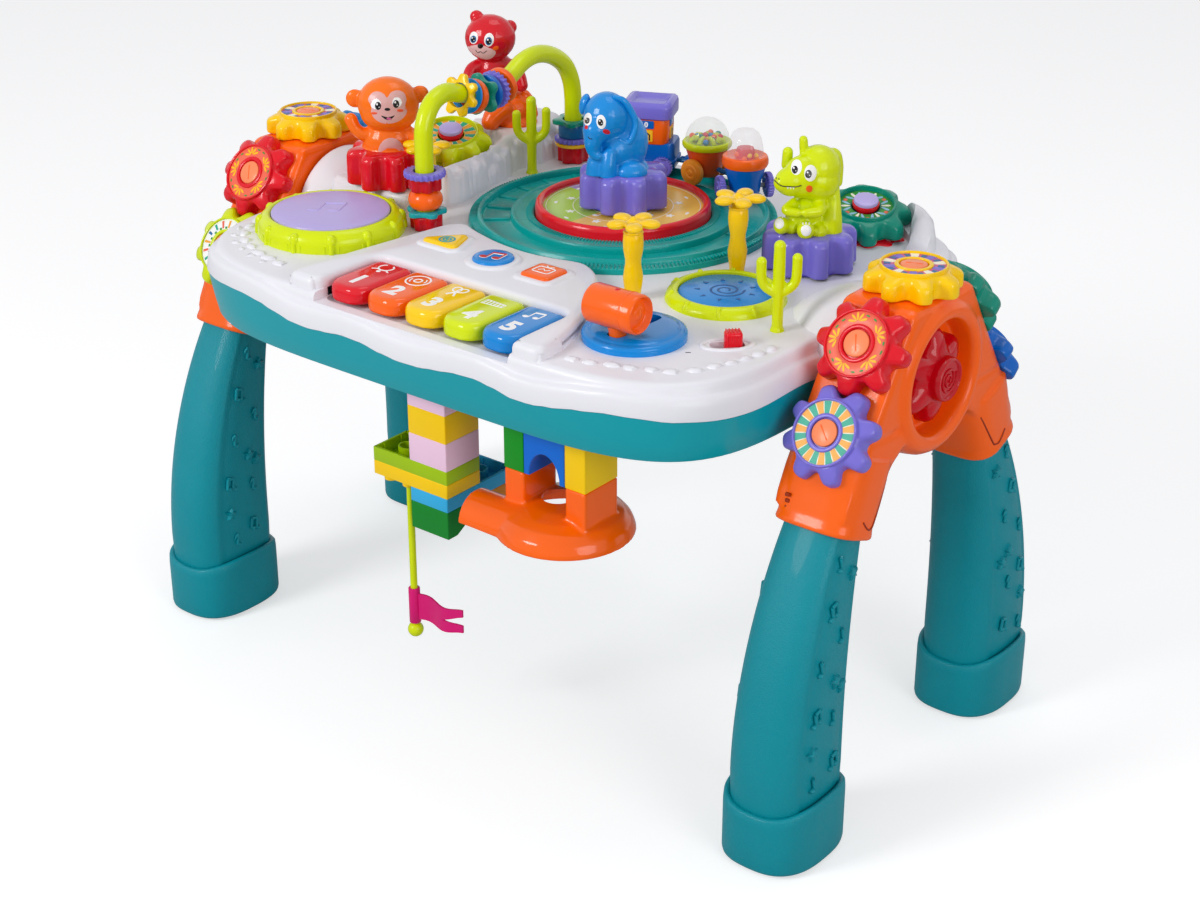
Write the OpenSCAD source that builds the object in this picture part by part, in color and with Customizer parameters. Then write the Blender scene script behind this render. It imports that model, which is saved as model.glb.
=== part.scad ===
// Musical activity table: a double-sided play deck that turns over between two gear brackets.
// Origin on the floor below the middle of the deck, +X to the right end, -Y to the keyboard side, +Z up.

/* [Stand] */
// Height of the turning axis of the deck above the floor
axis_z = 282; // [262:1:310]
// Distance from the middle of the deck to the inner face of a bracket
bracket_in = 224; // [223:0.5:240]
// Width of a bracket along the deck
bracket_w = 54; // [48:1:62]
// Distance from the middle to the middle of a front or rear foot
foot_y = 114; // [100:1:125]
// Half length of a boot from front to back
boot_y = 39; // [34:1:44]
// Half width of a boot along the deck
boot_x = 32; // [28:1:33]
// Height of a boot
boot_h = 46; // [30:1:56]
// Thickness of the rubber pad under a boot
pad_h = 2; // [1:0.5:4]

/* [Gears] */
// Number of teeth of every play gear
teeth = 8; // [8:1:8]
// Outer radius of a bracket gear
gear_r = 30.2; // [28:0.1:30.4]
// Height of the teeth of a bracket gear
gear_h = 13.5; // [10:0.5:14]
// Height of the raised rim on a gear
rim_h = 2.5; // [1:0.5:4]
// Radius of the post that a bracket gear turns on
post_r = 7; // [5:0.5:8]
// Height of an animal gear
animal_gear_h = 24.5; // [18:0.5:26]

/* [Deck] */
// Half length of the deck
deck_x = 218; // [200:1:219]
// Half depth of the deck
deck_y = 180; // [176:1:190]
// Corner radius of the deck
deck_r = 86; // [70:1:87]
// Height of the lower shell
lower_shell_h = 25; // [23:0.5:32]
// Height of the upper shell
upper_shell_h = 24; // [22:0.5:26]
// Width of the step around the top edge of the upper shell
edge_step = 4; // [2:0.5:6]
// Wall thickness of the shells
wall = 3; // [2:0.5:4]
// Radius of the trunnions that carry the deck
trunnion_r = 12; // [8:0.5:16]
// Radius of the round ears at the two ends
ear_r = 46; // [40:1:50]

/* [Keyboard] */
// Number of keys
key_n = 5; // [3:1:5]
// Distance from one key to the next
key_pitch = 31.4; // [28:0.1:31.4]
// Length of a key
key_l = 52; // [44:1:54]
// Height of the raised keyboard panel above the deck floor
panel_h = 8; // [6:0.5:9]
// Travel of the front end of a key
key_travel = 2.7; // [1:0.1:3]
// Travel of a push button
button_travel = 2.5; // [1:0.1:3]

/* [Pads and levers] */
// Radius of the drum skin
drum_r = 40; // [34:1:42]
// Width of the lime surround of the drum
drum_rim = 9.6; // [7:0.2:10]
// Height of the drum surround
drum_h = 14; // [10:0.5:16]
// Radius of the spiral pad
spiral_r = 30; // [24:1:32]
// Width of the surround of the spiral pad
spiral_rim = 8.4; // [6:0.2:9]
// Travel of the drum skin and of the spiral pad
pad_travel = 1.2; // [0.5:0.1:1.4]
// Radius of the hammer head
hammer_r = 12.2; // [10:0.2:13]
// Length of the hammer head
hammer_l = 36; // [30:1:40]
// Travel of the hammer along its slot
hammer_travel = 30; // [15:1:32]

/* [Railway] */
// Outer radius of the round track
track_r = 105; // [102:1:106]
// Radius of the middle of the rail channel
rail_r = 86; // [84:0.5:87]
// Height of the track
track_h = 8; // [7:0.5:12]
// Outer radius of the red turntable ring
ring_r = 59.8; // [56:0.2:60.4]

/* [Beads] */
// Radius of the tube of the bead arch
tube_r = 6.35; // [5:0.05:7]
// Distance between the posts of the bead arch
arch_w = 175.6; // [165:0.2:180]
// Height of the top of the arch above the deck floor
arch_h = 90; // [84:1:96]

/* [Building blocks] */
// Stud pitch of the large building blocks
stud_p = 16; // [16:0.1:16]
// Radius of a stud
stud_r = 4.7; // [4:0.1:4.8]
// Height of a stud
stud_h = 4.4; // [3:0.1:4.6]
// Height of a full building block
brick_h = 19.2; // [19.2:0.1:19.2]

/* [Clearances] */
// Radial clearance of a running shaft
run_c = 0.06; // [0.02:0.01:0.09]
// Clearance between moving pieces
gap = 0.4; // [0.3:0.05:0.6]
// Clearance between fitted fixed pieces
fit = 0.1; // [0.05:0.05:0.2]

/* [Hidden] */
$fn = 48;

lime = "yellowgreen";
teal = "teal";
orange = "darkorange";
purple = "mediumpurple";

// Stand: side shape of a bracket, seen along X
bracket_out = bracket_in + bracket_w;
gear_x = bracket_in + 28;
hub_r = 46;
face_tilt = 33;
gear_total = gear_h + rim_h;
top_gear_back = axis_z + 51.5;
upper_gear = [-47.8, axis_z + 27.5];
gear_spacing = 54.7;
lower_gear = upper_gear + gear_spacing * [-sin(face_tilt), -cos(face_tilt)];
seat_gap = gap;
leg_bend_r = 400;
leg_angle = 22;
bend_z = 58;
rim_centre = [-foot_y + leg_bend_r * (1 - cos(leg_angle)), bend_z + leg_bend_r * sin(leg_angle)];
socket_half = 23;
leg_top_x = 22;
leg_top_y = 19.5;
leg_low_x = 28.5;
leg_low_y = 35.5;
spigot_l = 22;
spigot_x = 15;
spigot_y = 12;
recess_r = 36;
recess_d = 22;
knob_r = 31;
knob_post_r = 5;
cap_r = 10.5;
cap_h = 3;

// Deck: levels, and places of the toys, [x, y]
split_z = axis_z - 1;
deck_low = split_z - lower_shell_h;
deck_top_z = split_z + upper_shell_h;
turn_c = [-5, 51.5];
drum_c = [-147, -85];
spiral_c = [134, -23];
hammer_c = [128, -108];
switch_c = [180, -82];
monkey_c = [-162.6, -9];
croc_c = [142, 57];
teal_c = [137, 131];
lime_c = [-165, 56];
bear_c = [-156, 116];
arch_front = [-100, -42];
arch_turn = 94.9;
cactus_places = [[188.5, -47, 40], [-120, 92, 40]];
flower_places = [[89.6, -59.9, 50], [113.4, 17.7, 50], [-122.3, -15.9, 46]];
wall_c = [147, 114];
terrace_z = deck_top_z + 12;
plateau_z = deck_top_z + 25;
floor_low = deck_top_z - wall;
lid_low = deck_low + wall;
panel_z = deck_top_z + panel_h;
teal_z = deck_top_z + 9;
lime_z = terrace_z + 6.4;
teal_r = gear_r + 1.3;
lime_r = gear_r - 0.7;
key_w = key_pitch - 0.8;
keys_x0 = -71.5;
key_front = -168;
key_rear = key_front + key_l;
key_low = deck_top_z - 1.5;
key_top = panel_z - 2;
tray_low = key_low - key_travel - 0.6;
tray_x0 = keys_x0 - gap;
tray_x1 = keys_x0 + 5 * key_pitch - 0.8 + gap;
tilt_gear = 15;
tilt_turn = 38.5;
buttons = [[-53, -72], [-8, -79], [34, -79]];
button_r = 13.6;
button_top = panel_z + 2.5;
flange = 1.8;
stud_rows = [-146 : stud_p : -34];
stud_cols = [-137 : stud_p : 135];
screw_places = [for (x = [-190, -70, 70, 190], y = [-136, 136]) [x, y]];
battery_c = [60, 70];
battery_x = 36;
battery_y = 30;
pivot_x = bracket_in - 10;
speaker_c = [-120, 80];
speaker_r = 28;

function polar(a, r) = [r * cos(a), r * sin(a)];

// Rounded rectangle with half sizes lx and ly
module rrect(lx, ly, r) {
    square([2 * (lx - r), 2 * ly], center = true);
    square([2 * lx, 2 * (ly - r)], center = true);
    for (sx = [-1, 1], sy = [-1, 1]) translate([sx * (lx - r), sy * (ly - r)]) circle(r);
}

// Superellipse ring of a leg: half sizes lx and ly, middle at (y, z), tipped by a about X
leg_sides = 28;
leg_x = bracket_in + bracket_w / 2;
function ring(y, z, a, lx, ly) = [for (i = [0 : leg_sides - 1]) let (t = i * 360 / leg_sides,
    u = lx * sign(cos(t)) * pow(abs(cos(t)), 0.75), v = ly * sign(sin(t)) * pow(abs(sin(t)), 0.75))
    [leg_x + u, y + v * cos(a), z - v * sin(a)]];

// Extrudes a shape drawn in (y, z) along X, from x0 to x1
module along_x(x0, x1) {
    translate([x0, 0, 0]) rotate([90, 0, 90]) linear_extrude(x1 - x0) children();
}

// Outline of a play gear
function gear_points(ro, rr) = [for (i = [0 : teeth - 1])
    for (p = [[-13.5, rr], [-9, (ro + rr) / 2 + 1], [-5.5, ro], [5.5, ro], [9, (ro + rr) / 2 + 1], [13.5, rr]])
        polar(360 * i / teeth + p[0], p[1])];

// Gear standing on z = 0: teeth, raised rim, bore and cap recess
module play_gear(ro, h, bore, cap) {
    rr = ro - 7.4;
    difference() {
        union() {
            linear_extrude(h) polygon(gear_points(ro, rr));
            cylinder(r = rr - 1.6, h = h + rim_h);
        }
        translate([0, 0, -1]) cylinder(r = bore, h = h + rim_h + 2);
        translate([0, 0, h + rim_h - cap]) cylinder(r = cap_r + gap, h = cap + 1);
        translate([0, 0, h + 1]) difference() {
            cylinder(r = rr - 3.4, h = rim_h);
            translate([0, 0, -1]) cylinder(r = cap_r + 2.6, h = rim_h + 2);
        }
    }
}

// Puts its children on the seat of a bracket gear: 0 top, 1 upper, 2 lower; side -1 left, end -1 front
module on_seat(k, side, end) {
    at = k == 0 ? [0, top_gear_back] : k == 1 ? upper_gear : lower_gear;
    tilt = k == 0 ? 0 : 90 - face_tilt;
    scale_y = k == 0 ? 1 : -end;
    mirror([0, scale_y < 0 ? 1 : 0, 0]) translate([side * gear_x, at[0], at[1]]) rotate([tilt, 0, 0]) children();
}

// Turn that lets the lower gear of a pair mesh with the upper one
module meshed(k) {
    rotate([0, 0, k == 1 ? 90 : k == 2 ? 90 + 180 / teeth : 0]) children();
}

module bracket_gear(k, side, end, paint) {
    color(paint) on_seat(k, side, end) meshed(k) play_gear(gear_r, gear_h, post_r + run_c, cap_h + 1);
}

// Side shape of a bracket in (y, z)
module bracket_shape() {
    n = [cos(face_tilt), -sin(face_tilt)];
    t = [-sin(face_tilt), -cos(face_tilt)];
    seat = upper_gear + seat_gap * n;
    k = top_gear_back - seat_gap;
    top = [seat[0] - (k - seat[1]) * t[0] / -t[1], k];
    low = seat + (gear_spacing + 22) * t;
    d = [-sin(leg_angle), -cos(leg_angle)];
    e = [-cos(leg_angle), sin(leg_angle)];
    difference() {
        union() {
            translate([0, axis_z]) circle(hub_r);
            for (s = [0, 1]) mirror([s, 0]) polygon([[0, k], top, low, rim_centre + socket_half * e,
                rim_centre - (socket_half - 1) * e, rim_centre - (socket_half - 1) * e - 26 * d, [0, axis_z - 20]]);
        }
        for (s = [0, 1]) mirror([s, 0])
            translate(rim_centre) rotate(-leg_angle) translate([-spigot_y - fit, -1])
                square([2 * (spigot_y + fit), spigot_l + 1.5]);
    }
}

module leg_slot_fill() {
    for (s = [0, 1]) mirror([0, s, 0]) translate([0, rim_centre[0], rim_centre[1]]) rotate([-leg_angle, 0, 0])
        for (x0 = [bracket_in, bracket_in + bracket_w / 2 + spigot_x + fit])
            translate([x0, -spigot_y - fit, 0])
                cube([bracket_w / 2 - spigot_x - fit, 2 * (spigot_y + fit), spigot_l + 0.5]);
}

module bracket_body() {
    difference() {
        union() {
            along_x(bracket_in, bracket_out) bracket_shape();
            leg_slot_fill();
            translate([bracket_out - recess_d, 0, axis_z]) rotate([0, 90, 0]) cylinder(r = hub_r, h = recess_d + 3);
        }
        translate([bracket_out - recess_d, 0, axis_z]) rotate([0, 90, 0]) cylinder(r = recess_r, h = recess_d + 4);
        translate([bracket_in - 1, 0, axis_z]) rotate([0, 90, 0]) cylinder(r = trunnion_r + run_c, h = 21);
    }
    translate([bracket_out - recess_d - 0.5, 0, axis_z]) rotate([0, 90, 0]) cylinder(r = knob_post_r, h = 14);
    for (k = [0, 1, 2], end = k == 0 ? [-1] : [-1, 1])
        on_seat(k, 1, end) translate([0, 0, -seat_gap - 1]) cylinder(r = post_r, h = gear_total - cap_h + seat_gap + 1);
}

module bracket_left() { color(orange) mirror([1, 0, 0]) bracket_body(); }
module bracket_right() { color(orange) bracket_body(); }

// Ring of the shaft of a leg, from u = 0 at the socket to u = 1 above the boot
function leg_ring(u) = let (v = 1 - pow(1 - u, 1.6) * (1 - u * 0.2), a = leg_angle * (1 - u))
    ring(-foot_y + leg_bend_r * (1 - cos(a)), bend_z + leg_bend_r * sin(a), a,
        leg_top_x + (leg_low_x - leg_top_x) * v, leg_top_y + (leg_low_y - leg_top_y) * v);

leg_steps = 7;

// Front right leg; the others are mirrored
module leg_body() {
    rings = concat([ring(-foot_y, pad_h, 0, boot_x, boot_y), ring(-foot_y, pad_h + boot_h - 10, 0, boot_x, boot_y),
        ring(-foot_y, pad_h + boot_h, 0, boot_x - 2.5, boot_y - 2.5),
        ring(-foot_y, pad_h + boot_h, 0, leg_low_x, leg_low_y)],
        [for (i = [leg_steps : -1 : 0]) leg_ring(i / leg_steps)]);
    n = len(rings);
    polyhedron([for (r = rings) each r], concat([[for (k = [0 : leg_sides - 1]) k]],
        [for (i = [0 : n - 2], k = [0 : leg_sides - 1]) let (q = (k + 1) % leg_sides)
            [i * leg_sides + q, i * leg_sides + k, (i + 1) * leg_sides + k, (i + 1) * leg_sides + q]],
        [[for (k = [leg_sides - 1 : -1 : 0]) (n - 1) * leg_sides + k]]));
    translate([leg_x, rim_centre[0], rim_centre[1]]) rotate([-leg_angle, 0, 0])
        translate([-spigot_x, -spigot_y, -1]) cube([2 * spigot_x, 2 * spigot_y, spigot_l + 1 - fit]);
}

module leg_front_left() { color(teal) mirror([1, 0, 0]) leg_body(); }
module leg_front_right() { color(teal) leg_body(); }
module leg_rear_left() { color(teal) mirror([1, 0, 0]) mirror([0, 1, 0]) leg_body(); }
module leg_rear_right() { color(teal) mirror([0, 1, 0]) leg_body(); }

module foot_pads() {
    color("dimgray") for (sx = [0, 1], sy = [0, 1]) mirror([sx, 0, 0]) mirror([0, sy, 0])
        translate([bracket_in + bracket_w / 2, -foot_y, 0]) linear_extrude(pad_h) rrect(boot_x - 8, boot_y - 8, 14);
}

module gear_caps() {
    color("orange") for (side = [-1, 1]) {
        for (k = [0, 1, 2], end = k == 0 ? [-1] : [-1, 1])
            on_seat(k, side, end) translate([0, 0, gear_total - cap_h]) cylinder(r = cap_r, h = cap_h);
    }
}

module knob_body() {
    x0 = bracket_out - recess_d + gap;
    difference() {
        translate([x0, 0, axis_z]) rotate([0, 90, 0]) union() {
            cylinder(r = 21, h = 18);
            for (i = [0 : 5]) rotate([0, 0, 60 * i]) translate([knob_r - 8, 0, 2]) cylinder(r = 8, h = 13);
            cylinder(r = 16, h = 26);
        }
        translate([x0 - 1, 0, axis_z]) rotate([0, 90, 0]) cylinder(r = knob_post_r + run_c, h = 15);
    }
}

module knob_left() { color("crimson") mirror([1, 0, 0]) knob_body(); }
module knob_right() { color("crimson") knob_body(); }

module gear_left_top() { bracket_gear(0, -1, -1, "gold"); }
module gear_left_front_upper() { bracket_gear(1, -1, -1, "red"); }
module gear_left_front_lower() { bracket_gear(2, -1, -1, lime); }
module gear_left_rear_upper() { bracket_gear(1, -1, 1, "royalblue"); }
module gear_left_rear_lower() { bracket_gear(2, -1, 1, purple); }
module gear_right_top() { bracket_gear(0, 1, -1, "gold"); }
module gear_right_front_upper() { bracket_gear(1, 1, -1, "red"); }
module gear_right_front_lower() { bracket_gear(2, 1, -1, purple); }
module gear_right_rear_upper() { bracket_gear(1, 1, 1, teal); }
module gear_right_rear_lower() { bracket_gear(2, 1, 1, "royalblue"); }

// Ear at the right end: grows out of the deck floor towards the bracket
module ear(x0) {
    x1 = bracket_in - 2.4;
    intersection() {
        translate([0, 0, axis_z]) rotate([0, 90, 0]) rotate_extrude() polygon([[0, x0 - 4], [ear_r * 0.5, x0 - 4],
            [ear_r * 0.62, x0 + 2], [ear_r * 0.86, x0 + (x1 - x0) * 0.42], [ear_r * 0.96, x0 + (x1 - x0) * 0.68],
            [ear_r, x1 - 4], [ear_r, x1], [0, x1]]);
        translate([x0 - 5, -60, split_z]) cube([60, 120, 60]);
    }
}

// Pivots pressed into the ears and carried by the brackets
module deck_pivots() {
    color("white") for (s = [0, 1]) mirror([s, 0, 0]) translate([pivot_x, 0, axis_z]) rotate([0, 90, 0])
        cylinder(r = trunnion_r, h = bracket_in + 19.6 - pivot_x);
}

// Plan of the keyboard panel; its rear edge follows the track
module panel_plan() {
    polygon(concat([[100, -169], [104, -160], [100, -140], [62, -62], [54, -52], [40, -46]],
        [for (a = [-68 : -9.5 : -125]) turn_c + polar(a, track_r + 2)],
        [[-74, -38], [-80, -46], [-95, -150], [-98, -169]]));
}

// Plan of the raised ground at the rear left
module terrace_plan() {
    polygon([[-205, -30], [-150, -32], [-134, -28], [-130, -8], [-124, 0], [-120, 14], [-124, 40], [-128, 60],
        [-130, 72], [-137, 84], [-136, 104], [-133, 112], [-135, 140], [-146, 168], [-168, 165], [-190, 151],
        [-203, 128]]);
}

// Plan of the high rocks along the terrace
module rock_plan() {
    polygon([[-129, -4], [-124, 2], [-121, 14], [-125, 40], [-128, 60], [-130, 72], [-137, 84], [-136, 104],
        [-133, 112], [-135, 140], [-146, 167], [-168, 165], [-188, 150], [-190, 104], [-152, 92], [-145, 84],
        [-130, 50]]);
}

module tilted_at(c, z) {
    translate([c[0], c[1], z]) rotate([0, 0, tilt_turn]) rotate([tilt_gear, 0, 0]) children();
}

module deck_top() {
    color("white") difference() {
        union() {
            difference() {
                translate([0, 0, split_z]) union() {
                    linear_extrude(upper_shell_h * 0.66) rrect(deck_x, deck_y, deck_r);
                    linear_extrude(upper_shell_h) rrect(deck_x - edge_step, deck_y - edge_step, deck_r - edge_step);
                }
                translate([0, 0, split_z - 1]) linear_extrude(floor_low - split_z + 1)
                    rrect(deck_x - edge_step - wall, deck_y - edge_step - wall, deck_r - edge_step - wall);
            }
            ear(178);
            mirror([1, 0, 0]) ear(198);
            translate([0, 0, floor_low]) linear_extrude(panel_z - floor_low) panel_plan();
            translate([0, 0, floor_low]) linear_extrude(terrace_z - floor_low) terrace_plan();
            translate([0, 0, floor_low]) linear_extrude(plateau_z - floor_low) rock_plan();
            rear_wall();
            translate([tray_x0 - wall, key_front - gap - wall, tray_low - wall])
                cube([tray_x1 - tray_x0 + 2 * wall, key_l + 2 * gap + 2 * wall, floor_low + 1 - tray_low + wall]);
            for (i = [0, 1]) translate([buttons[i][0], buttons[i][1], floor_low]) cylinder(r = 17, h = panel_z + 1 - floor_low);
            translate([buttons[2][0], buttons[2][1], floor_low]) linear_extrude(panel_z + 1 - floor_low) rrect(15.5, 15.5, 7);
            for (p = screw_places) translate([p[0], p[1], split_z]) cylinder(r = 5, h = floor_low + 1 - split_z);
            for (c = [teal_c, croc_c]) translate([c[0], c[1], deck_top_z - 1]) cylinder(r = 14, h = 2);
        }
        translate([tray_x0, key_front - gap, tray_low]) cube([tray_x1 - tray_x0, key_l + 2 * gap, 40]);
        translate([tray_x0, -200, deck_top_z]) cube([tray_x1 - tray_x0, 40, 30]);
        button_holes();
        translate([hammer_c[0] - 5.5, hammer_c[1] - 22, floor_low - 1]) cube([11, 44, wall + 2]);
        translate([switch_c[0], switch_c[1], floor_low - 1]) rotate([0, 0, 45]) translate([-12, -4.6, 0])
            cube([19, 9.2, wall + 2]);
        for (p = screw_places) translate([p[0], p[1], split_z - 1]) cylinder(r = 1.5 + fit, h = 19);
        for (s = [-1, 1]) translate([s * (pivot_x + 10), 0, axis_z]) rotate([0, 90, 0])
            cylinder(r = trunnion_r + fit, h = 20 + 2 * fit, center = true);
        tilted_at(lime_c, lime_z) translate([0, 0, -0.8]) cylinder(r = lime_r + 1, h = 30);
        tilted_at(teal_c, teal_z) translate([0, 0, -0.8]) cylinder(r = teal_r + 1, h = 30);
    }
}

module button_holes() {
    translate([buttons[0][0], buttons[0][1], 0]) {
        translate([0, 0, floor_low - 1]) linear_extrude(30) triangle_plan(gap);
        translate([0, 0, floor_low - 1]) linear_extrude(panel_z - wall - floor_low + 1) triangle_plan(3);
    }
    translate([buttons[1][0], buttons[1][1], 0]) {
        translate([0, 0, floor_low - 1]) cylinder(r = button_r + gap, h = 30);
        translate([0, 0, floor_low - 1]) cylinder(r = button_r + 3, h = panel_z - wall - floor_low + 1);
    }
    translate([buttons[2][0], buttons[2][1], 0]) {
        translate([0, 0, floor_low - 1]) linear_extrude(30) rrect(11.5 + gap, 11.5 + gap, 4);
        translate([0, 0, floor_low - 1]) linear_extrude(panel_z - wall - floor_low + 1) rrect(14.5, 14.5, 4);
    }
}

// Rounded triangle pointing away from the keys
module triangle_plan(grow) {
    r = 4 + grow;
    c = [[-10, -7], [10, -7], [4, 9]];
    polygon([for (i = [0 : 2]) let (d = c[i] - c[(i + 2) % 3], e = c[(i + 1) % 3] - c[i],
        a = atan2(-d[0], d[1]), b = atan2(-e[0], e[1]), turn = b < a ? b + 360 - a : b - a)
        for (k = [0 : 6]) c[i] + polar(a + turn * k / 6, r)]);
}

// Raised wall around the rear right corner
module rear_wall() {
    h = plateau_z - 3 - floor_low;
    translate([wall_c[0], wall_c[1], floor_low]) intersection() {
        difference() {
            cylinder(r = 44, h = h);
            translate([0, 0, -1]) cylinder(r = 32, h = h + 2);
        }
        translate([0, 8, 0]) cube([60, 60, h]);
    }
}

module deck_bottom() {
    color(teal) difference() {
        union() {
            difference() {
                hull() {
                    translate([0, 0, deck_low]) linear_extrude(0.1) rrect(deck_x - 4, deck_y - 7, deck_r - 6);
                    translate([0, 0, deck_low + 5]) linear_extrude(0.1) rrect(deck_x - 1.5, deck_y - 4, deck_r - 2);
                    translate([0, 0, split_z - 1]) linear_extrude(1) rrect(deck_x, deck_y, deck_r);
                }
                translate([0, 0, lid_low]) linear_extrude(40) rrect(deck_x - 12, deck_y - 12, deck_r - 12);
            }
            for (x = stud_cols, y = stud_rows) translate([x, y, deck_low - stud_h]) cylinder(r = stud_r, h = stud_h + 1);
            for (p = screw_places) translate([p[0], p[1], lid_low - 1]) cylinder(r = 6, h = split_z - lid_low + 1);
            battery_box();
            for (x = [-50, 10], y = [-120, -70]) translate([x, y, lid_low - 1]) cylinder(r = 3, h = 5);
        }
        translate([0, 0, deck_low - 1]) translate([battery_c[0], battery_c[1], 0]) linear_extrude(wall + 2)
            rrect(battery_x + fit, battery_y + fit, 4);
        for (p = screw_places) translate([p[0], p[1], deck_low - 1]) {
            cylinder(r = 1.5 + fit, h = 40);
            cylinder(r = 3.2, h = 8);
        }
        for (a = [0 : 45 : 315]) translate([speaker_c[0] + 14 * cos(a), speaker_c[1] + 14 * sin(a), deck_low - 1])
            cylinder(r = 2.2, h = wall + 2);
        for (s = [-1, 1]) translate([s * (deck_x - 2), 0, axis_z]) rotate([0, 90, 0])
            cylinder(r = trunnion_r + 1, h = 20, center = true);
    }
}

module battery_box() {
    translate([battery_c[0], battery_c[1], lid_low - 1]) linear_extrude(17) difference() {
        rrect(battery_x + 4, battery_y + 4, 6);
        rrect(battery_x + 1.5, battery_y + 1.5, 4);
    }
}

module pad_surrounds() {
    color(lime) {
        surround(drum_c, drum_r, drum_rim, drum_h);
        surround(spiral_c, spiral_r, spiral_rim, 6.5);
    }
}

// Ring with ribs outside and a ledge inside that stops the pad
module surround(c, r, rim, h) {
    translate([c[0], c[1], deck_top_z]) {
        rotate_extrude() polygon([[r - 4, 0], [r + rim, 0], [r + rim, h * 0.45], [r + rim * 0.5, h * 0.9], [r + 3, h],
            [r + gap, h], [r + gap, h - 5], [r - 4, h - 5]]);
        for (a = [15 : 30 : 345]) rotate([0, 0, a]) translate([r + rim - 1.6, 0, 0]) cylinder(r = 2.6, h = h * 0.62);
    }
}

module drum_skin() { color("thistle") pad(drum_c, drum_r, drum_h); }
module spiral_pad() { color("dodgerblue") pad(spiral_c, spiral_r, 6.5); }

module pad(c, r, h) {
    translate([c[0], c[1], deck_top_z + h - 5 + pad_travel + gap]) cylinder(r = r, h = 4);
}

module hammer_base() {
    color("dodgerblue") translate([hammer_c[0], hammer_c[1], deck_top_z]) difference() {
        rotate_extrude() polygon([[0, 0], [31.7, 0], [31.7, 4.8], [28.5, 7], [20, 7.5], [0, 7.5]]);
        translate([-5.5, -22, -1]) cube([11, 44, 11]);
    }
}

module hammer() {
    y0 = hammer_c[1] - 16;
    z0 = deck_top_z + 23;
    color(orange) {
        translate([hammer_c[0] - hammer_l / 2, y0, z0]) rotate([0, 90, 0]) cylinder(r = hammer_r, h = hammer_l);
        translate([hammer_c[0], y0, floor_low - 4]) cylinder(r = 4.6, h = z0 - floor_low + 4);
        translate([hammer_c[0] - 9, y0 - 5, floor_low - gap - 4]) cube([18, 10, 4]);
    }
}

module power_switch() {
    color("red") translate([switch_c[0], switch_c[1], 0]) rotate([0, 0, 45]) {
        translate([-4.5, -4.1, floor_low - gap - 0.1]) cube([11, 8.2, wall + gap + 8]);
        translate([-7, -7, floor_low - gap - 3]) cube([15, 14, 3]);
    }
}

module button_triangle() {
    color("gold") translate([buttons[0][0], buttons[0][1], 0]) {
        translate([0, 0, panel_z - wall - gap]) linear_extrude(button_top - panel_z + wall + gap) triangle_plan(0);
        translate([0, 0, panel_z - wall - gap - flange]) linear_extrude(flange) triangle_plan(1.6);
    }
}

module button_round() {
    color("dodgerblue") translate([buttons[1][0], buttons[1][1], 0]) {
        translate([0, 0, panel_z - wall - gap]) cylinder(r = button_r, h = button_top - panel_z + wall + gap);
        translate([0, 0, panel_z - wall - gap - flange]) cylinder(r = button_r + 1.6, h = flange);
    }
}

module button_square() {
    color(orange) translate([buttons[2][0], buttons[2][1], 0]) {
        translate([0, 0, panel_z - wall - gap]) linear_extrude(button_top - panel_z + wall + gap) rrect(11.5, 11.5, 4);
        translate([0, 0, panel_z - wall - gap - flange]) linear_extrude(flange) rrect(13, 13, 4);
    }
}

// Key number i, from the left
module key(i, paint) {
    x = keys_x0 + i * key_pitch;
    r = 11;
    color(paint) translate([x, key_front, key_low]) linear_extrude(key_top - key_low) {
        translate([0, r]) square([key_w, key_l - r - gap]);
        translate([r, 0]) square([key_w - 2 * r, r + 1]);
        for (s = [r, key_w - r]) translate([s, r]) circle(r);
    }
}

module key_1() { key(0, "red"); }
module key_2() { key(1, orange); }
module key_3() { key(2, "gold"); }
module key_4() { key(3, lime); }
module key_5() { key(4, "dodgerblue"); }

// Cactus with two arms, and a flower post
module cactus(h) {
    r = 3.5;
    cylinder(r = r, h = h - r);
    translate([0, 0, h - r]) sphere(r);
    cylinder(r = r + 1, h = 3);
    for (s = [-1, 1]) {
        translate([0, 0, h * 0.45]) rotate([0, s * 65, 0]) cylinder(r = r * 0.85, h = 11.2);
        translate([s * 10.2, 0, h * 0.53]) sphere(r * 0.85);
        translate([s * 10.2, 0, h * 0.53]) cylinder(r = r * 0.85, h = h * 0.3);
        translate([s * 10.2, 0, h * 0.83]) sphere(r * 0.85);
    }
}

module flower_post(h) {
    rotate_extrude() polygon([[0, 0], [5, 0], [6.2, 14], [5, 24], [6.6, h - 12], [4.6, h - 4], [0, h - 4]]);
    translate([0, 0, h - 6.4]) cylinder(r = 8, h = 6);
    for (a = [0 : 72 : 288]) rotate([0, 0, a + 20]) translate([11.6, 0, h - 6]) cylinder(r = 5.8, h = 5);
}

module garden_posts() {
    for (p = cactus_places) color(lime) translate([p[0], p[1], deck_top_z]) rotate([0, 0, p[2]]) cactus(57);
    for (p = flower_places) color("gold") translate([p[0], p[1], deck_top_z]) flower_post(p[2]);
}

// Puts its children in the plane of the arch: X runs from the front post to the rear one
module arch_frame() {
    translate([arch_front[0], arch_front[1], deck_top_z]) rotate([0, 0, arch_turn]) children();
}

// Middle line of the tube: [distance along the arch, height above the deck floor]
arch_path = [[0, 0], [0, arch_h - 26], [4, arch_h - 12], [13, arch_h - 4.5], [26, arch_h - 2.5], [42, arch_h - 8],
    [60, arch_h - 12.5], [84, arch_h - 12.5], [99, arch_h - 8], [112, arch_h - 2], [arch_w - 50, arch_h],
    [arch_w - 36, arch_h - 2.5], [arch_w - 22, arch_h - 8], [arch_w - 10, arch_h - 17], [arch_w - 2.5, arch_h - 29],
    [arch_w, arch_h - 43], [arch_w, 0]];

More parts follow.
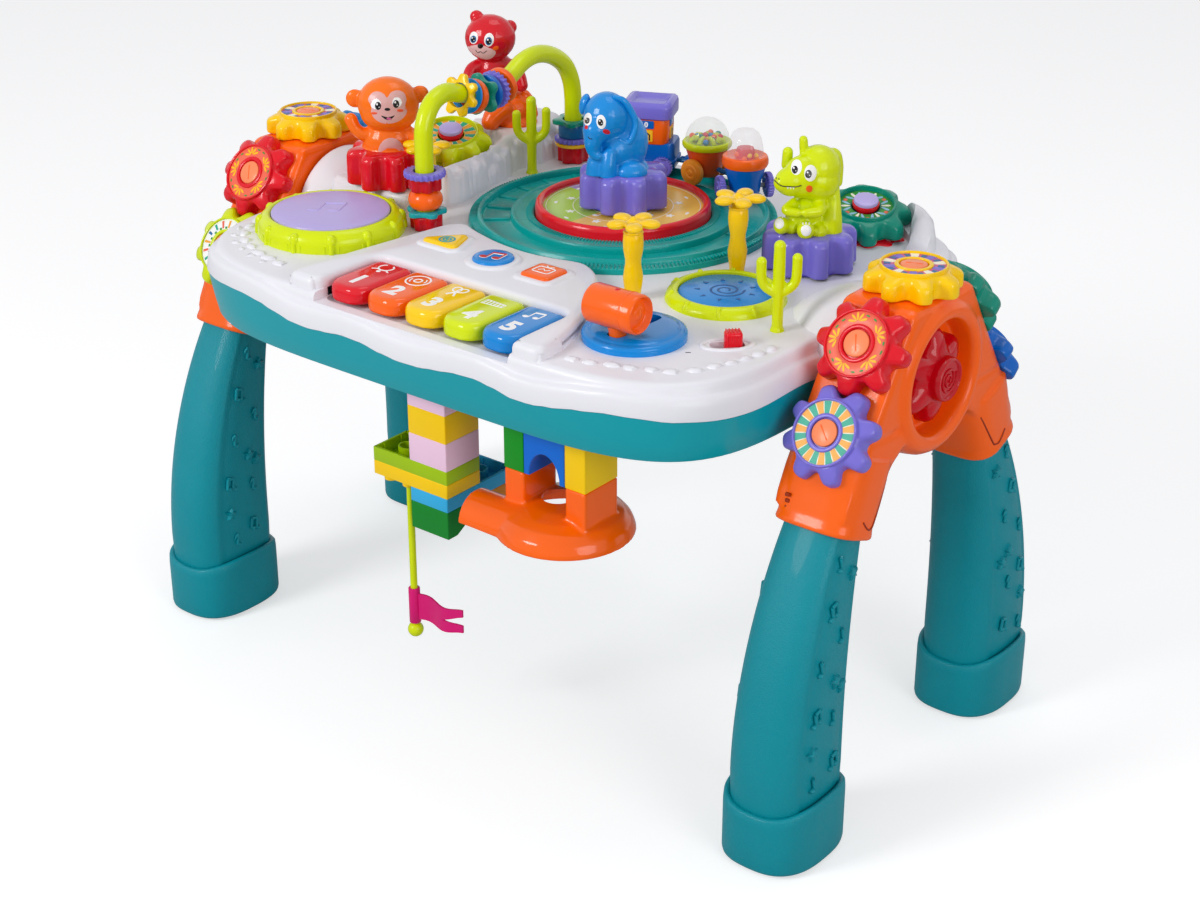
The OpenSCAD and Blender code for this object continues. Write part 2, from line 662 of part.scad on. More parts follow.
// The same line with its corners cut
arch_line = [arch_path[0], for (i = [1 : len(arch_path) - 2]) each
    [arch_path[i] + 0.25 * (arch_path[i - 1] - arch_path[i]) * min(1, 16 / norm(arch_path[i - 1] - arch_path[i])),
    arch_path[i] + 0.25 * (arch_path[i + 1] - arch_path[i]) * min(1, 16 / norm(arch_path[i + 1] - arch_path[i]))],
    arch_path[len(arch_path) - 1]];
tube_sides = 20;

module bead_arch() {
    n = len(arch_line);
    points = [for (i = [0 : n - 1]) let (p = arch_line[i],
        d = arch_line[min(i + 1, n - 1)] - arch_line[max(i - 1, 0)],
        t = i == 0 || i == n - 1 ? [0, i == 0 ? 1 : -1] : d / norm(d))
        for (k = [0 : tube_sides - 1]) let (a = 360 * k / tube_sides)
            [p[0] - t[1] * tube_r * cos(a), tube_r * sin(a), p[1] + t[0] * tube_r * cos(a)]];
    color(lime) arch_frame() polyhedron(points, concat([[for (k = [0 : tube_sides - 1]) k]],
        [for (i = [0 : n - 2], k = [0 : tube_sides - 1]) let (q = (k + 1) % tube_sides)
            [i * tube_sides + q, i * tube_sides + k, (i + 1) * tube_sides + k, (i + 1) * tube_sides + q]],
        [[for (k = [tube_sides - 1 : -1 : 0]) (n - 1) * tube_sides + k]]));
}

// One bead: a ring of radius r and height h that runs loosely on the tube
module bead(r, h) {
    difference() {
        cylinder(r = r, h = h);
        translate([0, 0, -1]) cylinder(r = tube_r + 1.2, h = h + 2);
    }
}

front_stack = [["crimson", 10.5, 9.3], ["turquoise", 13, 3.5], [orange, 11.5, 13.3], ["crimson", 11, 9],
    [purple, 14, 4]];
rear_stack = [["crimson", 11, 12], ["gold", 13, 2.6], [purple, 13.5, 3.4], ["steelblue", 10.5, 9.5],
    ["teal", 14.5, 3.4]];

function stack_z(s, i) = i == 0 ? gap : stack_z(s, i - 1) + s[i - 1][2] + 0.2;

module bead_stack(s) {
    for (i = [0 : len(s) - 1]) color(s[i][0]) translate([0, 0, stack_z(s, i)]) bead(s[i][1], s[i][2]);
}

module beads_front() { arch_frame() bead_stack(front_stack); }
module beads_rear() { arch_frame() translate([arch_w, 0, 0]) bead_stack(rear_stack); }

// Beads on the sagging part: [distance along the arch, radius, thickness, colour]
top_beads = [[41, 14, 4, "gold"], [57, 11, 6, "orangered"], [66, 13, 4, "teal"], [73, 12, 5, "royalblue"],
    [79.5, 12.5, 4, purple], [88, 12.5, 5, "orangered"]];
bead_drop = 2.2;
arch_top = [for (i = [3 : 10]) arch_path[i]];

module beads_top() {
    arch_frame() for (b = top_beads) {
        z = lookup(b[0], arch_top);
        slope = atan((lookup(b[0] + 1, arch_top) - lookup(b[0] - 1, arch_top)) / 2);
        color(b[3]) translate([b[0], 0, z - bead_drop]) rotate([0, 90 - slope, 0]) translate([0, 0, -b[2] / 2])
            difference() {
                cylinder(r = b[1], h = b[2]);
                translate([0, 0, -1]) cylinder(r = tube_r + bead_drop + 0.8, h = b[2] + 2);
            }
    }
}

module track() {
    w = 10;
    color("lightseagreen") translate([turn_c[0], turn_c[1], deck_top_z]) {
        rotate_extrude() polygon([[ring_r + gap, 0], [track_r, 0], [track_r, 3.5], [rail_r + w + 2.5, track_h],
            [rail_r + w, track_h], [rail_r + w, 4], [rail_r - w, 4], [rail_r - w, track_h],
            [ring_r + gap, track_h - 0.5]]);
    }
}

module turntable_ring() {
    color("red") translate([turn_c[0], turn_c[1], deck_top_z]) rotate_extrude() polygon([[ring_r - 9, 0], [ring_r, 0],
        [ring_r, 13], [ring_r - 1.4, 14.5], [ring_r - 4, 14.5], [ring_r - 5.4, 13], [ring_r - 5.4, 8], [ring_r - 9, 8]]);
}

module turntable_window() {
    color("khaki", 0.6) translate([turn_c[0], turn_c[1], deck_top_z + 8]) difference() {
        cylinder(r = ring_r - 5.4 - fit, h = 4.5);
        translate([0, 0, -1]) cylinder(r = 13, h = 7);
    }
}

module circuit_board() {
    color("darkgreen") translate([-60, -130, lid_low + 4]) cube([80, 70, 1.6]);
    color("black") translate([-40, -115, lid_low + 5.6]) cube([24, 16, 4]);
    color("silver") translate([0, -85, lid_low + 5.6]) cylinder(r = 5, h = 9);
}

module speaker() {
    color("gray") translate([speaker_c[0], speaker_c[1], lid_low]) rotate_extrude() polygon([[0, 10], [12, 10], [12, 3],
        [20, 0], [speaker_r, 0], [speaker_r, 3], [14, 9], [14, 18], [0, 18]]);
}

cell_r = 7.1;
cell_l = 50;

module battery_cells() {
    color("goldenrod") for (i = [-1 : 1]) translate([battery_c[0] - cell_l / 2, battery_c[1] + i * 16,
        lid_low + cell_r + fit]) rotate([0, 90, 0]) {
        cylinder(r = cell_r, h = cell_l - 1.5);
        cylinder(r = 2.7, h = cell_l);
    }
}

module battery_door() {
    color(teal) translate([battery_c[0], battery_c[1], deck_low]) difference() {
        linear_extrude(wall) rrect(battery_x, battery_y, 4);
        translate([0, battery_y - 8, -1]) cylinder(r = 3, h = 2.5);
    }
}

module deck_screws() {
    color("silver") for (p = screw_places) translate([p[0], p[1], deck_low + 7]) {
        translate([0, 0, -2.2]) cylinder(r = 3, h = 2.2);
        translate([0, 0, -0.5]) cylinder(r = 1.5, h = 34);
    }
}

// Red pegs that the deck gears turn on
peg_r = 6;

module gear_pegs() {
    color("crimson") {
        translate([turn_c[0], turn_c[1], deck_top_z]) {
            cylinder(r = 12.8, h = 13.2 - gap);
            cylinder(r = peg_r, h = 30);
        }
        translate([monkey_c[0], monkey_c[1], terrace_z]) cylinder(r = peg_r, h = 18);
        translate([croc_c[0], croc_c[1], deck_top_z + 1]) cylinder(r = peg_r, h = 18);
        tilted_at(teal_c, teal_z) tilted_peg(17);
        translate([teal_c[0], teal_c[1], deck_top_z + 1]) cylinder(r = 11, h = 4.4);
        tilted_at(lime_c, lime_z) tilted_peg(15);
        translate([lime_c[0], lime_c[1], terrace_z]) cylinder(r = 11, h = 3);
    }
}

module tilted_peg(r) {
    translate([0, 0, -2.5]) cylinder(r = r, h = 2.5 - gap);
    cylinder(r = peg_r, h = 12 + rim_h);
    translate([0, 0, 12 + rim_h - 1]) cylinder(r = 8, h = 3);
}

module deck_gear(c, z, r) {
    tilted_at(c, z) difference() {
        play_gear(r, 11, peg_r + run_c, 1);
        translate([0, 0, 12]) cylinder(r = 9, h = 5);
    }
}

module gear_deck_teal() { color(teal) deck_gear(teal_c, teal_z, teal_r); }
module gear_deck_lime() { color(lime) deck_gear(lime_c, lime_z, lime_r); }

// Gear under an animal, with a blind bore
module animal_gear() {
    difference() {
        linear_extrude(animal_gear_h) polygon(gear_points(gear_r + 1, gear_r - 6.4));
        translate([0, 0, -1]) cylinder(r = peg_r + run_c, h = 21);
    }
}

module elephant() {
    translate([turn_c[0], turn_c[1], deck_top_z + 13.2]) {
        color(purple) animal_gear();
        color("dodgerblue") translate([0, 0, animal_gear_h]) rotate([0, 0, -20]) {
            rotate_extrude() polygon([[0, 0], [21, 0], [22, 6], [18, 26], [10, 34], [0, 36]]);
            translate([0, -3, 33]) sphere(18);
            for (s = [-1, 1]) translate([s * 12, -16, 0]) cylinder(r = 8.5, h = 12);
            translate([0, -18, 4]) cylinder(r = 6, h = 24);
            for (s = [-1, 1]) translate([s * 17, 3, 30]) rotate([0, s * 80, 0]) cylinder(r = 13, h = 5, center = true);
        }
    }
}

module monkey() {
    translate([monkey_c[0], monkey_c[1], terrace_z + gap]) {
        color("red") animal_gear();
        color(orange) translate([0, 0, animal_gear_h]) {
            rotate_extrude() polygon([[0, 0], [19, 0], [20, 6], [17, 18], [10, 22], [0, 22]]);
            translate([0, 0, 31]) sphere(19);
            rotate([0, 0, 30]) for (s = [-1, 1]) {
                translate([s * 21, 0, 33]) rotate([90, 0, 0]) cylinder(r = 7, h = 5, center = true);
                translate([s * 18, -4, 10]) rotate([0, s * 30, 0]) cylinder(r = 5, h = 12);
            }
        }
    }
}

module crocodile() {
    translate([croc_c[0], croc_c[1], deck_top_z + 1 + gap]) {
        color(purple) animal_gear();
        color(lime) translate([0, 0, animal_gear_h]) rotate([0, 0, 0]) {
            rotate_extrude() polygon([[0, 0], [17, 0], [18, 5], [15, 20], [12, 26], [0, 26]]);
            translate([0, 0, 40]) sphere(16.5);
            translate([0, -10, 35]) rotate([90, 0, -12]) cylinder(r = 9, h = 12);
            for (s = [-1, 1]) translate([s * 10, -14, 0]) cylinder(r = 6, h = 9);
            translate([13, 6, 0]) cylinder(r = 7, h = 30);
        }
    }
}

module bear() {
    translate([bear_c[0], bear_c[1], plateau_z]) {
        color(orange) {
            rotate_extrude() polygon([[0, 0], [17, 0], [18, 8], [14, 22], [0, 26]]);
            translate([-6, -14, 0]) cylinder(r = 7, h = 12);
        }
        color("red") {
            translate([0, 0, 24]) rotate_extrude() polygon([[0, 0], [12, 0], [14, 8], [9, 22], [0, 24]]);
            translate([0, 0, 62]) sphere(16);
            for (a = [-50, 130]) rotate([0, 0, a + 90]) translate([12, 0, 75]) sphere(5.5);
        }
    }
}

// Building block of nx by ny studs, hanging with its open side up from z = 0
module brick(nx, ny, h, paint) {
    lx = nx * stud_p - 0.2;
    ly = ny * stud_p - 0.2;
    color(paint) translate([0.1, 0.1, -h]) {
        difference() {
            cube([lx, ly, h]);
            translate([1.9, 1.9, 1.6]) cube([lx - 3.8, ly - 3.8, h]);
        }
        for (i = [1 : 1 : nx - 1], j = [1 : 1 : ny - 1])
            translate([i * stud_p - 0.1, j * stud_p - 0.1, 1]) difference() {
                cylinder(r = 6.4, h = h - 1);
                translate([0, 0, -1]) cylinder(r = 5, h = h + 2);
            }
        for (i = [0 : nx - 1], j = [0 : ny - 1])
            translate([(i + 0.5) * stud_p - 0.1, (j + 0.5) * stud_p - 0.1, -stud_h]) cylinder(r = stud_r, h = stud_h + 1);
    }
}

tower_x = -17;
tower_y = -154;
plate_h = brick_h / 2;

module building_bricks() {
    z1 = deck_low;
    z2 = z1 - 3 * brick_h;
    z3 = z2 - 3 * plate_h;
    p = stud_p;
    translate([tower_x, tower_y, 0]) {
        translate([0, 0, z1]) brick(2, 2, brick_h, "pink");
        translate([0, 0, z1 - brick_h]) brick(2, 2, brick_h, "gold");
        translate([0, 0, z1 - 2 * brick_h]) brick(2, 2, brick_h, "pink");
        translate([-2 * p, 0, z2]) brick(4, 2, plate_h, lime);
        translate([-2 * p, 0, z2 - plate_h]) brick(4, 2, plate_h, "gold");
        translate([0, 0, z2 - 2 * plate_h]) brick(2, 4, plate_h, "deepskyblue");
        translate([0, 0, z3]) brick(2, 2, brick_h, "green");
        translate([0, 2 * p, z3]) brick(2, 2, brick_h, "gold");
    }
    color(lime) translate([pole[0], pole[1], pole_top - pole_l]) {
        cylinder(r = pole_r, h = pole_l);
        sphere(ball_r);
    }
}

bridge_x = tower_x + 5 * 16;

module slide_bridge() {
    h = 2 * brick_h;
    p = stud_p;
    z = deck_low - h;
    w = 2 * p - 0.2;
    translate([bridge_x, tower_y, 0]) {
        translate([0, 0, deck_low]) brick(1, 2, h, "green");
        translate([3 * p, 0, deck_low]) brick(1, 2, h, "gold");
        color("royalblue") difference() {
            translate([p + 0.1, 0.1, z]) cube([w, w, h]);
            translate([p + 2, 2, z + 22]) cube([w - 3.8, w - 3.8, h]);
            translate([2 * p, -1, z]) rotate([-90, 0, 0]) cylinder(r = 12, h = 40);
        }
    }
    color(orange) translate([bridge_x, tower_y, z]) slide_base();
}

// Curled end of the slide: two columns on an upturned bowl with a half-round mouth
module slide_base() {
    p = stud_p;
    c = [2 * p + 1, p + 3];
    difference() {
        union() {
            for (x = [0.1, 3 * p + 0.1]) translate([x, 0.1, -34]) cube([p - 0.2, 2 * p - 0.2, 34]);
            translate([c[0], c[1], -40]) rotate_extrude() polygon([[0, 0], [44, 0], [44, 3], [38, 13], [26, 19], [0, 20]]);
            translate([-24, -3, -40]) intersection() {
                rotate([0, 90, 0]) cylinder(r = 17, h = 50);
                translate([-1, -20, 0]) cube([60, 40, 20]);
            }
        }
        translate([c[0], c[1], -41]) rotate_extrude() polygon([[0, 0], [41.6, 0], [41.6, 4], [36, 12], [25, 17.5], [0, 18]]);
        translate([-25, -3, -41]) rotate([0, 90, 0]) cylinder(r = 15, h = 54);
        for (x = [0.1, 3 * p + 0.1], y = [0, 1]) translate([x - 0.1 + p / 2, (y + 0.5) * p, -stud_h - fit])
            cylinder(r = stud_r + fit, h = stud_h + 1);
        translate([c[0] + 2, c[1] + 6, -30]) cylinder(r = 9, h = 12);
    }
}

// Flag that turns on a pole below the lowest plate and rests on the ball at its end
pole_r = 2.4;
pole_l = 107;
ball_r = 5.4;
pole = [tower_x - 0.5 * stud_p, tower_y + 0.5 * stud_p];
pole_top = deck_low - 3 * brick_h - 2 * plate_h - stud_h;
sleeve_h = 26;

module flag() {
    r = pole_r + 1.6;
    color("mediumvioletred") translate([pole[0], pole[1], pole_top - pole_l + ball_r]) difference() {
        union() {
            cylinder(r = r, h = sleeve_h);
            translate([0, -0.8, 3]) cube([r + 25, 1.6, 20]);
            for (z = [3, 16]) translate([r + 24, -0.8, z]) cube([16, 1.6, 7]);
        }
        translate([0, 0, -1]) cylinder(r = pole_r + run_c, h = sleeve_h + 2);
    }
}

// Puts a vehicle on the rail channel at the given angle, X ahead and Y outward
module on_rail(a) {
    translate([turn_c[0], turn_c[1], deck_top_z + track_h + gap]) rotate([0, 0, a]) translate([rail_r, 0, 0])
        rotate([0, 0, 90]) children();
}

module wheels(xs, r, y, paint) {
    color(paint) for (x = xs, s = [-1, 1]) translate([x, s * y, r]) rotate([90, 0, 0]) cylinder(r = r, h = 4, center = true);
    color("gray") for (x = xs) translate([x, 0, r]) rotate([90, 0, 0]) cylinder(r = 1.5, h = 2 * y, center = true);
}

module train() {
    on_rail(115) {
        wheels([-11, 11], 7, 15, purple);
        color("royalblue") translate([-20, -13, 4]) cube([40, 26, 20]);
        color(orange) translate([-14, -14, 24]) cube([28, 28, 18]);
        color(purple) translate([-17, -16, 42]) cube([34, 32, 8]);
        color("gray") translate([0, 0, 4 - track_h]) cylinder(r = 4, h = track_h + 1);
    }
    on_rail(85) {
        wheels([0], 9, 15, "goldenrod");
        color("orangered") translate([0, 0, 5]) cylinder(r1 = 9, r2 = 15, h = 20);
        color(lime) translate([0, 0, 25]) cylinder(r = 17, h = 4);
        color("white", 0.4) translate([0, 0, 29]) intersection() {
            sphere(16);
            translate([-20, -20, 0]) cube(40);
        }
    }
    on_rail(53) {
        wheels([0], 8.5, 17, purple);
        color("royalblue") translate([0, 0, 5]) cylinder(r1 = 11, r2 = 14, h = 19);
        color(orange) translate([0, 0, 24]) cylinder(r = 15.5, h = 7);
        color("white", 0.4) translate([0, 0, 31]) intersection() {
            union() {
                cylinder(r = 12, h = 6);
                translate([0, 0, 6]) sphere(12);
            }
            translate([-20, -20, 0]) cube(40);
        }
    }
    color("navy") translate([turn_c[0], turn_c[1], deck_top_z + track_h + 9]) for (a = [69, 100]) rotate([0, 0, a])
        translate([rail_r * 0.964 - 1.5, -16, 0]) cube([3, 32, 3]);
}

bracket_left();
bracket_right();
leg_front_left();
leg_front_right();
leg_rear_left();
leg_rear_right();
foot_pads();
gear_caps();
knob_left();
knob_right();
gear_left_top();
gear_left_front_upper();
gear_left_front_lower();
gear_left_rear_upper();
gear_left_rear_lower();
gear_right_top();
gear_right_front_upper();
gear_right_front_lower();
gear_right_rear_upper();
gear_right_rear_lower();
deck_top();
deck_bottom();
deck_pivots();
pad_surrounds();
hammer_base();
garden_posts();
bead_arch();
track();
turntable_ring();
turntable_window();
circuit_board();
speaker();
battery_cells();
battery_door();
deck_screws();
gear_pegs();
bear();
building_bricks();
slide_bridge();
flag();
key_1();
key_2();
key_3();
key_4();
key_5();
button_triangle();
button_round();
button_square();
drum_skin();
spiral_pad();
hammer();
power_switch();
beads_front();
beads_top();
beads_rear();
elephant();
monkey();
crocodile();
gear_deck_teal();
gear_deck_lime();
train();
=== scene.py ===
import bpy
import bmesh
import math
import random
from math import sin, cos, pi, radians, sqrt, atan2, hypot
from mathutils import Vector, Matrix
from mathutils.bvhtree import BVHTree


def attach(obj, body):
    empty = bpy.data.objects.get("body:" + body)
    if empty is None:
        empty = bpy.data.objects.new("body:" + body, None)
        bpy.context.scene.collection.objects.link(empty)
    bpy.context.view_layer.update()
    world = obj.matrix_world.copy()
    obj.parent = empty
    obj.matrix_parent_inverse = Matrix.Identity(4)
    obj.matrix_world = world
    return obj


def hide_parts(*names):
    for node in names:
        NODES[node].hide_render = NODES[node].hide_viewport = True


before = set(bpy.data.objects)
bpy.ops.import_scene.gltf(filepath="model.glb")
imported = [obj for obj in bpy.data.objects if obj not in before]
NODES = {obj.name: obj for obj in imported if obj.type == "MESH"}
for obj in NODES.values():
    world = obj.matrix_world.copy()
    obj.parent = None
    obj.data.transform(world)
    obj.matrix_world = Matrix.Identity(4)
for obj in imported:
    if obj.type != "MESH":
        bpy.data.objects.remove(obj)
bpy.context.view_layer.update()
MM = 0.001

# ---------------------------------------------------------------- colours and materials


def lin(c):
    """Linear light of an 8-bit screen colour."""
    return tuple((v / 12.92 if v <= 0.04045 else ((v + 0.055) / 1.055) ** 2.4) for v in [x / 255 for x in c])


def node_of(nt, kind, **inputs):
    """New shader node with its input values."""
    n = nt.nodes.new(kind)
    for k, v in inputs.items():
        n.inputs[k].default_value = v
    return n


def plastic(name, rgb, rough=0.28, grain=0.0, grain_scale=900, mottle=0.05, coat=0.25, sss=0.0, wear=0.03):
    """Moulded plastic: slight colour mottle, uneven gloss and a fine moulded grain."""
    m = bpy.data.materials.new(name)
    m.use_nodes = True
    nt = m.node_tree
    b = nt.nodes["Principled BSDF"]
    col = lin(rgb)
    co = nt.nodes.new("ShaderNodeTexCoord")
    cloud = node_of(nt, "ShaderNodeTexNoise", Scale=38.0, Detail=3.0, Roughness=0.55)
    nt.links.new(co.outputs["Object"], cloud.inputs["Vector"])
    mix = nt.nodes.new("ShaderNodeMix")
    mix.data_type = "RGBA"
    mix.inputs["A"].default_value = tuple(v * (1 - mottle) for v in col) + (1,)
    mix.inputs["B"].default_value = tuple(min(1, v * (1 + mottle) + mottle * 0.012) for v in col) + (1,)
    nt.links.new(cloud.outputs["Fac"], mix.inputs["Factor"])
    nt.links.new(mix.outputs["Result"], b.inputs["Base Color"])
    fine = node_of(nt, "ShaderNodeTexNoise", Scale=float(grain_scale), Detail=4.0, Roughness=0.6)
    nt.links.new(co.outputs["Object"], fine.inputs["Vector"])
    rr = node_of(nt, "ShaderNodeMapRange")
    rr.inputs["To Min"].default_value = max(0.02, rough - wear)
    rr.inputs["To Max"].default_value = rough + wear
    nt.links.new(cloud.outputs["Fac"], rr.inputs["Value"])
    nt.links.new(rr.outputs["Result"], b.inputs["Roughness"])
    bump = nt.nodes.new("ShaderNodeBump")
    bump.inputs["Strength"].default_value = max(grain, 0.02)
    bump.inputs["Distance"].default_value = 0.0006
    nt.links.new(fine.outputs["Fac"], bump.inputs["Height"])
    nt.links.new(bump.outputs["Normal"], b.inputs["Normal"])
    b.inputs["Coat Weight"].default_value = coat * 0.5
    b.inputs["Coat Roughness"].default_value = 0.08
    b.inputs["IOR"].default_value = 1.45
    b.inputs["Specular IOR Level"].default_value = 0.24
    if sss:
        b.inputs["Subsurface Weight"].default_value = sss
        b.inputs["Subsurface Scale"].default_value = 0.004
    return m


def clear(name, rgb, alpha=0.3, rough=0.06):
    """Clear moulded plastic, slightly uneven."""
    m = plastic(name, rgb, rough=rough, coat=0.0, mottle=0.02)
    b = m.node_tree.nodes["Principled BSDF"]
    b.inputs["Alpha"].default_value = alpha
    b.inputs["Specular IOR Level"].default_value = 0.9
    return m


C = dict(
    white=(231, 230, 236), teal=(0, 156, 168), leg=(0, 140, 154), track=(0, 156, 152), orange=(255, 100, 10),
    lime=(212, 228, 0), yellow=(255, 204, 0), red=(224, 14, 34), crimson=(196, 0, 22), blue=(0, 134, 214),
    purple=(122, 112, 210), lavender=(186, 172, 228), royal=(0, 98, 190), green=(0, 138, 116),
    animal_blue=(16, 140, 220), peach=(252, 190, 138), monkey=(255, 116, 14), bear=(216, 18, 36),
    pink=(240, 202, 226), brick_yellow=(255, 206, 0), brick_lime=(160, 196, 0), brick_blue=(50, 176, 228),
    brick_green=(0, 146, 24), brick_dark=(0, 130, 36), brick_royal=(0, 104, 208), magenta=(214, 14, 112),
    croc=(214, 230, 0), black=(20, 18, 20), pure=(250, 250, 250), grey=(120, 122, 126), amber=(240, 150, 40),
    cap_orange=(255, 140, 92), print_teal=(34, 168, 140), print_orange=(246, 168, 56),
    print_cream=(250, 244, 222),
    print_coral=(240, 108, 84), print_green=(60, 150, 60), print_sky=(150, 200, 230),
    print_pink=(214, 96, 150),
    cheek=(240, 90, 50), bead_teal=(20, 160, 168), steel_blue=(30, 104, 160), gold=(250, 190, 30),
    rubber=(36, 38, 40),
)
_mats = {}


def M_(key, **k):
    """Plastic in a colour of C, made once for each set of options."""
    name = key if not k else key + "_" + "_".join(f"{a}{v}" for a, v in sorted(k.items())).replace(".", "p")
    if name not in _mats:
        _mats[name] = plastic(name, C[key], **k)
    return _mats[name]


WHITE = plastic("white_shell", C["white"], rough=0.34, grain=0.03, mottle=0.012, coat=0.15)
TEAL = plastic("teal_shell", C["teal"], rough=0.30, grain=0.04, mottle=0.03, coat=0.2)
LEG = plastic("leg_teal", C["leg"], rough=0.36, grain=0.75, grain_scale=1000, mottle=0.05, coat=0.12)
TRACK = plastic("track_teal", C["track"], rough=0.27, grain=0.03, mottle=0.04)
ORANGE = plastic("bracket_orange", C["orange"], rough=0.26, grain=0.02, mottle=0.03, coat=0.35)
CLEAR = clear("clear_dome", (235, 240, 245), alpha=0.22)
WINDOW = clear("clear_window", (245, 245, 235), alpha=0.12)

# ---------------------------------------------------------------- mesh tools, all in millimetres


class Part:
    """Mesh in millimetres, put together from lofts, lathes, tubes and balls."""

    def __init__(self):
        self.v, self.f, self.m, self.mats = [], [], [], []

    def mat(self, m):
        if m not in self.mats:
            self.mats.append(m)
        return self.mats.index(m)

    def add(self, verts, faces, mat, T=None):
        k, base = self.mat(mat), len(self.v)
        for p in verts:
            p = Vector(p)
            self.v.append(T @ p if T is not None else p)
        for f in faces:
            self.f.append([base + i for i in f])
            self.m.append(k)
        return self

    def loft(self, rings, mat, T=None, caps=(True, True), closed=True, wrap=False):
        n = len(rings[0])
        faces = []
        for i in range(len(rings) - (0 if wrap else 1)):
            j = (i + 1) % len(rings)
            for a in range(n if closed else n - 1):
                b = (a + 1) % n
                faces.append([i * n + a, i * n + b, j * n + b, j * n + a])
        if not wrap and closed:
            if caps[0]:
                faces.append(list(range(n - 1, -1, -1)))
            if caps[1]:
                faces.append([(len(rings) - 1) * n + a for a in range(n)])
        return self.add([p for r in rings for p in r], faces, mat, T)

    def prism(self, outline, prof, mat, T=None, caps=(True, True)):
        """Outline drawn in (x, y), raised through prof = [(inset, z), ...]."""
        return self.loft([[(x, y, z) for x, y in inset(outline, d)] for d, z in prof], mat, T, caps)

    def revolve(self, prof, mat, T=None, seg=48):
        """prof = [(r, z), ...], from bottom to top on the outside."""
        verts, faces, rows = [], [], []
        for r, z in prof:
            if r < 1e-6:
                rows.append([len(verts)] * seg)
                verts.append((0, 0, z))
            else:
                rows.append([len(verts) + i for i in range(seg)])
                verts += [(r * cos(2 * pi * i / seg), r * sin(2 * pi * i / seg), z) for i in range(seg)]
        for a, b in zip(rows, rows[1:]):
            for i in range(seg):
                j = (i + 1) % seg
                f = [a[i], a[j], b[j], b[i]]
                f = [x for k, x in enumerate(f) if x not in f[:k]]
                if len(f) > 2:
                    faces.append(f)
        return self.add(verts, faces, mat, T)

    def tube(self, pts, r, mat, T=None, seg=14, closed=False, caps=True, flat=1.0):
        pts = [Vector(p) for p in pts]
        n = len(pts)
        rings, up = [], None
        for i, p in enumerate(pts):
            a = pts[i - 1] if (i or closed) else pts[0]
            b = pts[(i + 1) % n] if (i < n - 1 or closed) else pts[-1]
            t = (b - a).normalized()
            if up is None:
                up = Vector((0, 0, 1)) if abs(t.z) < 0.9 else Vector((1, 0, 0))
            side = t.cross(up).normalized()
            up = side.cross(t).normalized()
            rr = r[i] if isinstance(r, (list, tuple)) else r
            rings.append([p + side * rr * cos(2 * pi * k / seg) + up * rr * flat * sin(2 * pi * k / seg)
                          for k in range(seg)])
        return self.loft(rings, mat, T, (caps, caps), wrap=closed)

    def ball(self, c, r, mat, T=None, seg=24, rows=14, R=None):
        """Ellipsoid; r is a number or three radii, R an optional rotation."""
        r = (r, r, r) if isinstance(r, (int, float)) else r
        prof = [(sin(pi * i / rows), -cos(pi * i / rows)) for i in range(rows + 1)]
        prof[0], prof[-1] = (0, -1), (0, 1)
        L = Matrix.Translation(Vector(c)) @ (R.to_4x4() if R is not None
                                             else Matrix()) @ Matrix.Diagonal((*r, 1))
        return self.revolve(prof, mat, (T @ L) if T is not None else L, seg)

    def cyl(self, c, r, h, mat, T=None, bevel=0.6, seg=40, R=None):
        L = Matrix.Translation(Vector(c)) @ (R.to_4x4() if R is not None else Matrix())
        b = min(bevel, r * 0.45, h * 0.45)
        k = b * 0.3
        return self.revolve([(0, 0), (r - b, 0), (r - k, k), (r, b), (r, h - b), (r - k, h - k), (r - b, h),
                             (0, h)],
                            mat, (T @ L) if T is not None else L, seg)

    def box(self, lo, hi, mat, T=None, bevel=0.5):
        x0, y0, z0 = lo
        x1, y1, z1 = hi
        b = min(bevel, (x1 - x0) * 0.3, (y1 - y0) * 0.3, (z1 - z0) * 0.4)
        out = rounded([(x0, y0), (x1, y0), (x1, y1), (x0, y1)], b * 1.6, 3)
        return self.prism(out, [(b, z0), (b * 0.3, z0 + b * 0.3), (0, z0 + b), (0, z1 - b),
                                (b * 0.3, z1 - b * 0.3),
                                (b, z1)], mat, T)

    def make(self, name, body, replaces, slot, angle=35):
        """Scene object that rides on a body and stands in for its CAD nodes."""
        me = self.mesh(name, MM)
        me.shade_smooth()
        me.set_sharp_from_angle(angle=radians(angle))
        me.validate()
        o = placed(bpy.data.objects.new(name, me))
        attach(o, body)
        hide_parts(*replaces)

    def mesh(self, name, unit=1.0, split=False):
        """Blender mesh with outward normals; split turns its large faces into triangles."""
        me = bpy.data.meshes.new(name)
        me.from_pydata([tuple(p * unit) for p in self.v], [], self.f)
        for m in self.mats:
            me.materials.append(m)
        me.polygons.foreach_set("material_index", self.m)
        bm = bmesh.new()
        bm.from_mesh(me)
        bmesh.ops.recalc_face_normals(bm, faces=bm.faces)
        if split:
            bmesh.ops.triangulate(bm, faces=[f for f in bm.faces if len(f.verts) > 4])
        bm.to_mesh(me)
        bm.free()
        return me


def placed(o):
    bpy.context.scene.collection.objects.link(o)
    return o


def evaluated(o):
    """The object's mesh with its modifiers or its font applied."""
    return o.evaluated_get(bpy.context.evaluated_depsgraph_get()).to_mesh()


def drop(o):
    data = o.data
    bpy.data.objects.remove(o)
    bpy.data.meshes.remove(data)


def remesh(part, voxel, smooth):
    """The part as one soft skin: (verts, faces) of a voxel remesh, smoothed."""
    o = placed(bpy.data.objects.new("tmp", part.mesh("tmp", split=True)))
    skin = o.modifiers.new("skin", "REMESH")
    skin.mode, skin.voxel_size = "VOXEL", voxel
    soften = o.modifiers.new("soften", "SMOOTH")
    soften.factor, soften.iterations = 0.5, smooth
    me = evaluated(o)
    verts, faces = [v.co.copy() for v in me.vertices], [list(q.vertices) for q in me.polygons]
    drop(o)
    return verts, faces


